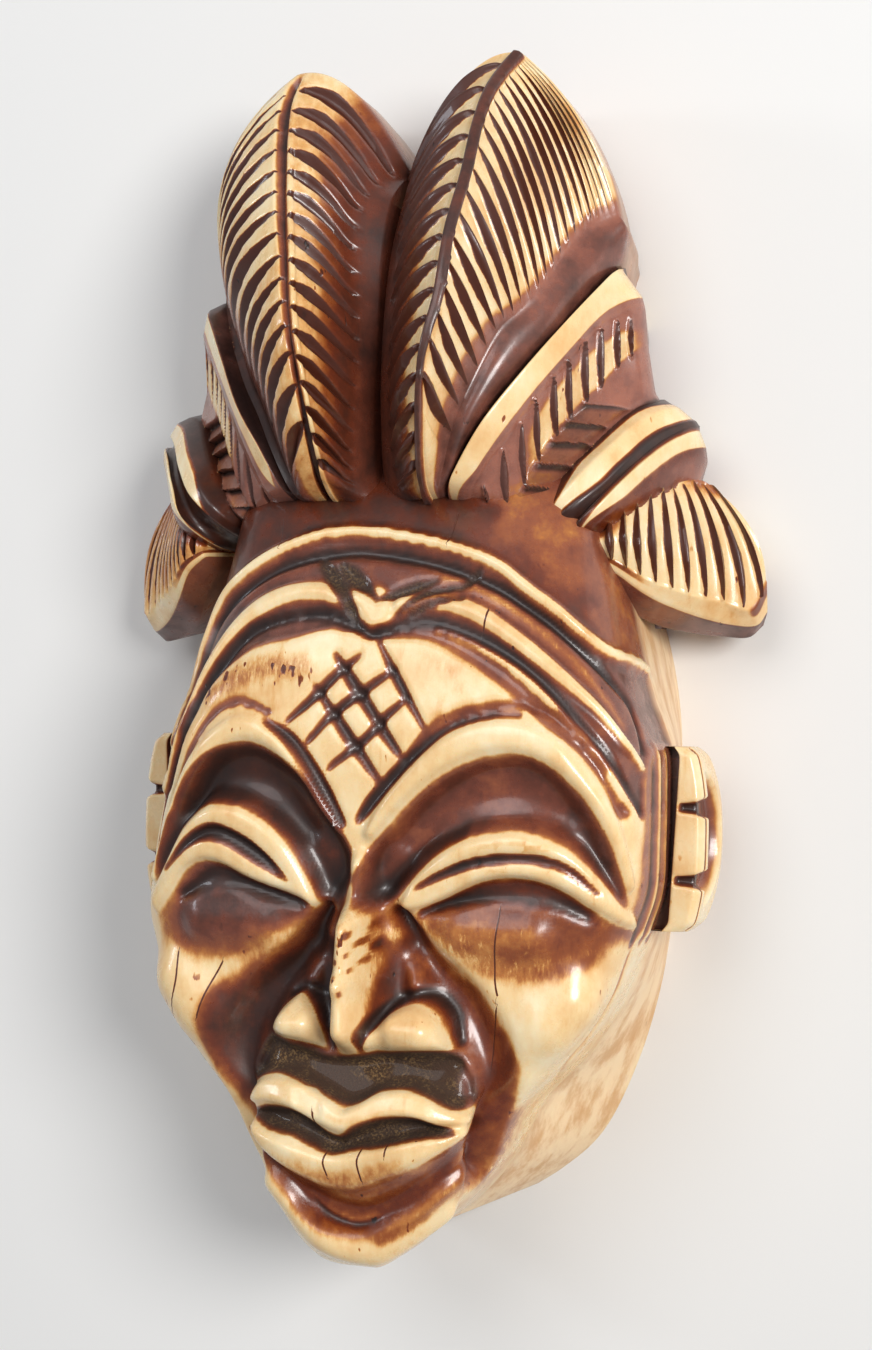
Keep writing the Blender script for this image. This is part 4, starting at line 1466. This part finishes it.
# %% [markdown]
# Where two sheets cross, the union makes new corners that carry no stain yet, and each takes the
# strongest of its neighbours. Then the drawing moves into the frame, broad angles
# are shaded smoothly, and the piece is tied to the CAD body that it stands for.

# %% Join the sheets
def joined(name, pieces, tools):
    """One closed piece from many: they are added up, and then the tools are taken away."""
    body = pieces[0]
    for other, operation in [*((p, "UNION") for p in pieces[1:]), *((t, "DIFFERENCE") for t in tools)]:
        step = body.modifiers.new(operation, "BOOLEAN")
        step.object, step.operation, step.solver = other, operation, "MANIFOLD"
    shapes = bpy.context.evaluated_depsgraph_get()
    data = bpy.data.meshes.new_from_object(body.evaluated_get(shapes))
    for old in [*pieces, *tools]:
        bpy.data.objects.remove(old)
    mesh = bmesh.new()
    mesh.from_mesh(data)
    stain = mesh.verts.layers.float["stain"]
    layers = [mesh.verts.layers.float[field] for field in STAIN_FIELDS]
    for corner in [v for v in mesh.verts if v[stain] == 0 and not any(v[layer] for layer in layers)]:
        around = [edge.other_vert(corner) for edge in corner.link_edges]
        for layer in layers[:len(TINTS)]:
            corner[layer] = max(other[layer] for other in around)
    bmesh.ops.translate(mesh, verts=mesh.verts, vec=DRAWING_SHIFT * MM)
    mesh.to_mesh(data)
    mesh.free()
    data.name = name
    data.polygons.foreach_set("use_smooth", [True] * len(data.polygons))
    data.set_sharp_from_angle(angle=math.radians(80))
    piece = in_scene(name, data)
    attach(piece, "root")
    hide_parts("mask")
    triangles = sum(len(face.vertices) - 2 for face in data.polygons)
    print(name, "has", triangles, "triangles")
    return piece


face = joined("carved_face", [head, *ears], [plane_block(), bowl()])
crest = joined("carved_crest", [*lobes, *tiers, *wings, *cores], [plane_block()])

# %% [markdown]
# The finish: bone that was dyed, rubbed back and polished by hand. One material reads the stain that
# the carving left at each corner and turns it into colour. It is built from small shader nodes, and
# these helpers make them: each takes its inputs as numbers or as the outputs of other nodes.

# %% Helpers for the finish
bone = bpy.data.materials.new("polished_stained_bone")
bone.use_nodes = True
tree = bone.node_tree
tree.nodes.clear()


def node(kind, inputs=None, **settings):
    made = tree.nodes.new(kind)
    for name, value in settings.items():
        setattr(made, name, value)
    for name, value in (inputs or {}).items():
        if isinstance(value, bpy.types.NodeSocket):
            tree.links.new(value, made.inputs[name])
        else:
            made.inputs[name].default_value = value
    return made


def maths(operation, *values, clamp=False):
    """One sum of up to three values. MULTIPLY_ADD is the first times the second plus the third."""
    return node("ShaderNodeMath", dict(enumerate(values)), operation=operation, use_clamp=clamp).outputs[0]


def carried(name):
    """What the corners carry under this name."""
    return node("ShaderNodeAttribute", attribute_name=name).outputs["Fac"]


def ramp(value, low, high):
    """The same soft step from 0 to 1 as above, as a node."""
    return node("ShaderNodeMapRange", {"Value": value, "From Min": low, "From Max": high},
                interpolation_type="SMOOTHSTEP").outputs[0]


def noise(scale, detail=3.0, roughness=0.55, stretch=(1, 1, 1), offset=0.0):
    where = node("ShaderNodeMapping",
                 {"Vector": on_object, "Scale": stretch, "Location": (offset, 0, 0)}).outputs[0]
    return node("ShaderNodeTexNoise", {"Vector": where, "Scale": scale, "Detail": detail,
                                       "Roughness": roughness}).outputs[0]


def mixed(share, a, b):
    """A blend of two colours, each a node's output or three numbers."""
    a, b = (c if isinstance(c, bpy.types.NodeSocket) else (*c, 1) for c in (a, b))
    return node("ShaderNodeMix", {0: share, 6: a, 7: b}, data_type="RGBA").outputs[2]


on_object = node("ShaderNodeTexCoord").outputs["Object"]
print("the finish is called", bone.name)

# %% [markdown]
# Noise of several sizes stands for the grain, the pores and the scratches of bone. All of it lies on
# the object's own coordinates, so it stays put when the mask is moved. The fine cuts are found
# from their phase and lens, so their edges stay crisp.

# %% What the corners carry, and the grain
stain, mauve, grit, raw, rub, pore, phase, lens = (carried(name) for name in STAIN_FIELDS)

fine = noise(2600, 4, 0.6)
brush = noise(900, 5, 0.65, stretch=(1.0, 0.45, 1.0))
scratches = noise(3000, 5, 0.75, stretch=(1.0, 0.22, 0.6), offset=5.0)
broad = noise(140, 3, 0.5)
off_cut = maths("ABSOLUTE", maths("SUBTRACT", maths("FRACT", phase), 0.5))
off_cut = maths("MULTIPLY_ADD", maths("SUBTRACT", fine, 0.5), 0.05, off_cut)
in_cut = ramp(maths("SUBTRACT", lens, off_cut), -0.03, 0.04)
in_cut = maths("MULTIPLY", in_cut, ramp(lens, 0.02, 0.06))
print("noises are stretched along the bone's grain, which is the Y axis")

# %% [markdown]
# Clean edges of the dye are crisp. Rubbed ones fade slowly and break up in fine scratches.
# Inside the dye, blotches and streaks vary its strength. Pores and cuts hold the most of it.

# %% Dye
ragged = maths("MULTIPLY_ADD", maths("SUBTRACT", scratches, brush), rub, brush)
reach = maths("MULTIPLY_ADD", rub, 0.6, 0.16)
edge = maths("MULTIPLY_ADD", maths("SUBTRACT", ragged, 0.5), reach, stain)
edge = ramp(maths("MULTIPLY_ADD", rub, 0.02, edge), 0.14, 0.36)
dye = maths("MULTIPLY_ADD", maths("SUBTRACT", stain, 0.08), edge, 0.08)
blotches = noise(430, 5, 0.65, offset=13.0)
uneven = maths("MULTIPLY_ADD", ramp(dye, 0.2, 0.45), 0.45, 0.16)
dye = maths("MULTIPLY_ADD", maths("SUBTRACT", blotches, 0.5), uneven, dye)
dye = maths("MULTIPLY_ADD", maths("SUBTRACT", broad, 0.5), 0.3, dye)
dye = maths("MULTIPLY_ADD", maths("SUBTRACT", brush, 0.5), 0.16, dye)
dye = maths("MAXIMUM", dye, maths("MULTIPLY", in_cut, 0.7))
streak = noise(700, 4, 0.7, stretch=(1.0, 0.09, 1.0), offset=3.0)
specks = noise(1500, 2, 0.5, stretch=(1.0, 0.4, 1.0), offset=7.0)
pores = ramp(maths("MULTIPLY_ADD", pore, 0.12, specks), 0.70, 0.76)
pores = maths("MULTIPLY", pores, maths("MAXIMUM", ramp(broad, 0.45, 0.62), pore))
dye = maths("MULTIPLY_ADD", ramp(streak, 0.56, 0.78), 0.08, dye)
dye = maths("MULTIPLY_ADD", pores, 0.42, dye)
print("nodes so far:", len(tree.nodes))

# %% [markdown]
# The strength of the dye picks a colour from a ladder: cream, honey, rust, red-brown, purple-brown.
# Where the polish wore thin the dye looks dusky and mauve. The rough ground is earthy, with lighter
# grains, and the side wall is raw bone with a brown grain.

# %% Colour
DYE_LADDER = [
    (0.00, (0.92, 0.77, 0.49)), (0.09, (0.87, 0.62, 0.31)), (0.19, (0.73, 0.39, 0.13)),
    (0.28, (0.48, 0.18, 0.045)), (0.38, (0.28, 0.070, 0.014)), (0.54, (0.140, 0.024, 0.006)),
    (0.76, (0.050, 0.012, 0.005)), (1.00, (0.016, 0.006, 0.004)),
]
DUSKY_TONES = (0.40, 0.17, 0.125), (0.055, 0.022, 0.017)
EARTH_TONES = (0.055, 0.024, 0.008), (0.30, 0.17, 0.06)
WALL_TONES = (0.93, 0.69, 0.42), (0.66, 0.35, 0.14)
colours = node("ShaderNodeValToRGB", {"Fac": dye})
ladder = colours.color_ramp
while len(ladder.elements) < len(DYE_LADDER):
    ladder.elements.new(0.5)
for stop, (at, tone) in zip(ladder.elements, DYE_LADDER):
    stop.position, stop.color = at, (*tone, 1)
colour = colours.outputs[0]
dusky = mixed(ramp(dye, 0.35, 0.85), *DUSKY_TONES)
shown_mauve = maths("MULTIPLY", maths("MULTIPLY", mauve, 0.8), ramp(dye, 0.24, 0.4))
colour = mixed(shown_mauve, colour, dusky)
speckle = noise(5200, 2, 0.7)
grains = maths("MULTIPLY", ramp(speckle, 0.42, 0.7), ramp(blotches, 0.4, 0.62))
earth = mixed(grains, *EARTH_TONES)
colour = mixed(maths("MULTIPLY", grit, 0.75), colour, earth)
grain = noise(620, 5, 0.65, stretch=(1.0, 0.14, 1.0), offset=1.0)
wall = mixed(ramp(grain, 0.38, 0.68), *WALL_TONES)
colour = mixed(maths("MULTIPLY", raw, 0.85), colour, wall)
print("colours on the ladder:", len(ladder.elements))

# %% [markdown]
# Cream ridges shine and rough ground doesn't, so the roughness follows the dye, the grit and the raw
# wall. The bump is only for what is finer than the grid: grains, pores and scratches.

# %% Polish and fine bump
rough = maths("MULTIPLY_ADD", fine, 0.12, 0.2)
rough = maths("MULTIPLY_ADD", maths("SUBTRACT", blotches, 0.5), 0.3, rough)
rough = maths("MULTIPLY_ADD", ramp(dye, 0.5, 0.8), 0.16, rough)
rough = maths("MULTIPLY_ADD", grit, 0.5, rough)
rough = maths("MULTIPLY_ADD", raw, 0.22, rough)
rough = maths("MULTIPLY_ADD", ramp(broad, 0.4, 0.7), 0.06, rough, clamp=True)

height = maths("MULTIPLY_ADD", speckle, maths("MULTIPLY", grit, 3.0), maths("MULTIPLY", fine, 0.16))
height = maths("MULTIPLY_ADD", pores, -0.5, height)
height = maths("MULTIPLY_ADD", streak, 0.15, height)
height = maths("MULTIPLY_ADD", maths("MULTIPLY", scratches, rub), 0.3, height)
height = maths("MULTIPLY_ADD", in_cut, -0.35, height)
bump = node("ShaderNodeBump", {"Height": height, "Strength": 0.5, "Distance": 0.00012}).outputs[0]
print("nodes so far:", len(tree.nodes))

# %% [markdown]
# Light enters bone a little way and comes out warmer, which the subsurface share gives.
# The polish is a thin clear coat over it.

# %% The finished bone
shader = node("ShaderNodeBsdfPrincipled", {
    "Base Color": colour, "Roughness": rough, "Normal": bump, "IOR": 1.54,
    "Subsurface Weight": 0.12, "Subsurface Radius": (1.0, 0.5, 0.25), "Subsurface Scale": 0.0006,
    "Coat Weight": 0.28, "Coat Roughness": 0.08, "Coat IOR": 1.5,
})
target = node("ShaderNodeOutputMaterial")
tree.links.new(shader.outputs[0], target.inputs["Surface"])
for piece in (face, crest):
    piece.data.materials.clear()
    piece.data.materials.append(bone)
print("finish uses", len(tree.nodes), "nodes")

# %% [markdown]
# The mask lies on a pale table, as small carvings are photographed. The table is one large square
# at the height of the flat back, matt enough to show soft shadows and no reflection.

# %% Table
TABLE_SIZE, TABLE_COLOUR = 1.5, (0.79, 0.785, 0.765, 1)


def table_top():
    mesh = bmesh.new()
    bmesh.ops.create_grid(mesh, x_segments=1, y_segments=1, size=TABLE_SIZE)
    table = in_scene("table_top", mesh_data("table_top", mesh))
    table_paint = bpy.data.materials.new("pale_table")
    table_paint.use_nodes = True
    shader = table_paint.node_tree.nodes["Principled BSDF"]
    shader.inputs["Base Color"].default_value = TABLE_COLOUR
    shader.inputs["Roughness"].default_value = 0.6
    table.data.materials.append(table_paint)


table_top()
print("table laid,", 2 * TABLE_SIZE, "m across")

# %% [markdown]
# Polished bone shows the shape of its lamps, so their size matters as much as their power. A broad
# lamp on the right draws the long highlight on the cheek, a larger one above the crest
# brightens the flutes, and a small cool one on the left keeps that edge from going flat.

# %% Light
LIGHT_AIM = (0, 0, 0.01)


def area_light(name, place, size, power, colour):
    lamp = bpy.data.lights.new(name, "AREA")
    lamp.shape, lamp.size, lamp.energy, lamp.color = "DISK", size, power, colour
    holder = in_scene(name, lamp)
    holder.location = place
    holder.rotation_mode = "QUATERNION"
    holder.rotation_quaternion = (Vector(LIGHT_AIM) - Vector(place)).to_track_quat("-Z", "Y")


area_light("window", (0.33, 0.08, 0.36), size=0.20, power=1.95, colour=(1.0, 0.985, 0.97))
area_light("overhead", (-0.08, 0.26, 0.45), size=0.36, power=0.86, colour=(0.97, 0.98, 1.0))
area_light("left_window", (-0.42, 0.12, 0.24), size=0.09, power=0.26, colour=(0.85, 0.92, 1.0))
world = bpy.data.worlds.new("soft_room")
world.use_nodes = True
sky = world.node_tree.nodes["Background"]
sky.inputs["Color"].default_value = (0.92, 0.94, 1.0, 1)
sky.inputs["Strength"].default_value = 0.27
bpy.context.scene.world = world
bpy.context.scene.view_settings.view_transform = "Standard"
print("lamps:", len(bpy.data.lights))

# %% [markdown]
# The photograph looks down on the mask from its right side, a little turned. The camera stands at the
# same angle and distance, with a lens that gives the whole 872 by 1350 picture the same framing.

# %% Camera
CAMERA_TURN, CAMERA_TILT, CAMERA_ROLL = math.radians(19.0), math.radians(-0.6), math.radians(1.2)
CAMERA_DISTANCE, CAMERA_AIM = 172.0, (2.568, 0.0, 12.0)
FOCAL_PIXELS, PICTURE_HEIGHT, SENSOR = 2306.5, 1350, 36.0


def photo_camera():
    back = Vector((math.sin(CAMERA_TURN) * math.cos(CAMERA_TILT), math.sin(CAMERA_TILT),
                   math.cos(CAMERA_TURN) * math.cos(CAMERA_TILT)))
    right = Vector((0, 1, 0)).cross(back).normalized()
    up = back.cross(right)
    cos, sin = math.cos(CAMERA_ROLL), math.sin(CAMERA_ROLL)
    right, up = right * cos + up * sin, up * cos - right * sin
    lens = bpy.data.cameras.new("photo_camera")
    lens.sensor_width, lens.lens = SENSOR, FOCAL_PIXELS / PICTURE_HEIGHT * SENSOR
    lens.clip_start, lens.clip_end = 0.01, 10
    camera = in_scene("photo_camera", lens)
    aim = Vector(CAMERA_AIM) + DRAWING_SHIFT
    camera.location = (aim + back * CAMERA_DISTANCE) * MM
    camera.rotation_mode = "QUATERNION"
    camera.rotation_quaternion = Matrix((right, up, back)).transposed().to_quaternion()
    bpy.context.scene.camera = camera
    print("lens:", round(lens.lens, 1), "mm")


photo_camera()
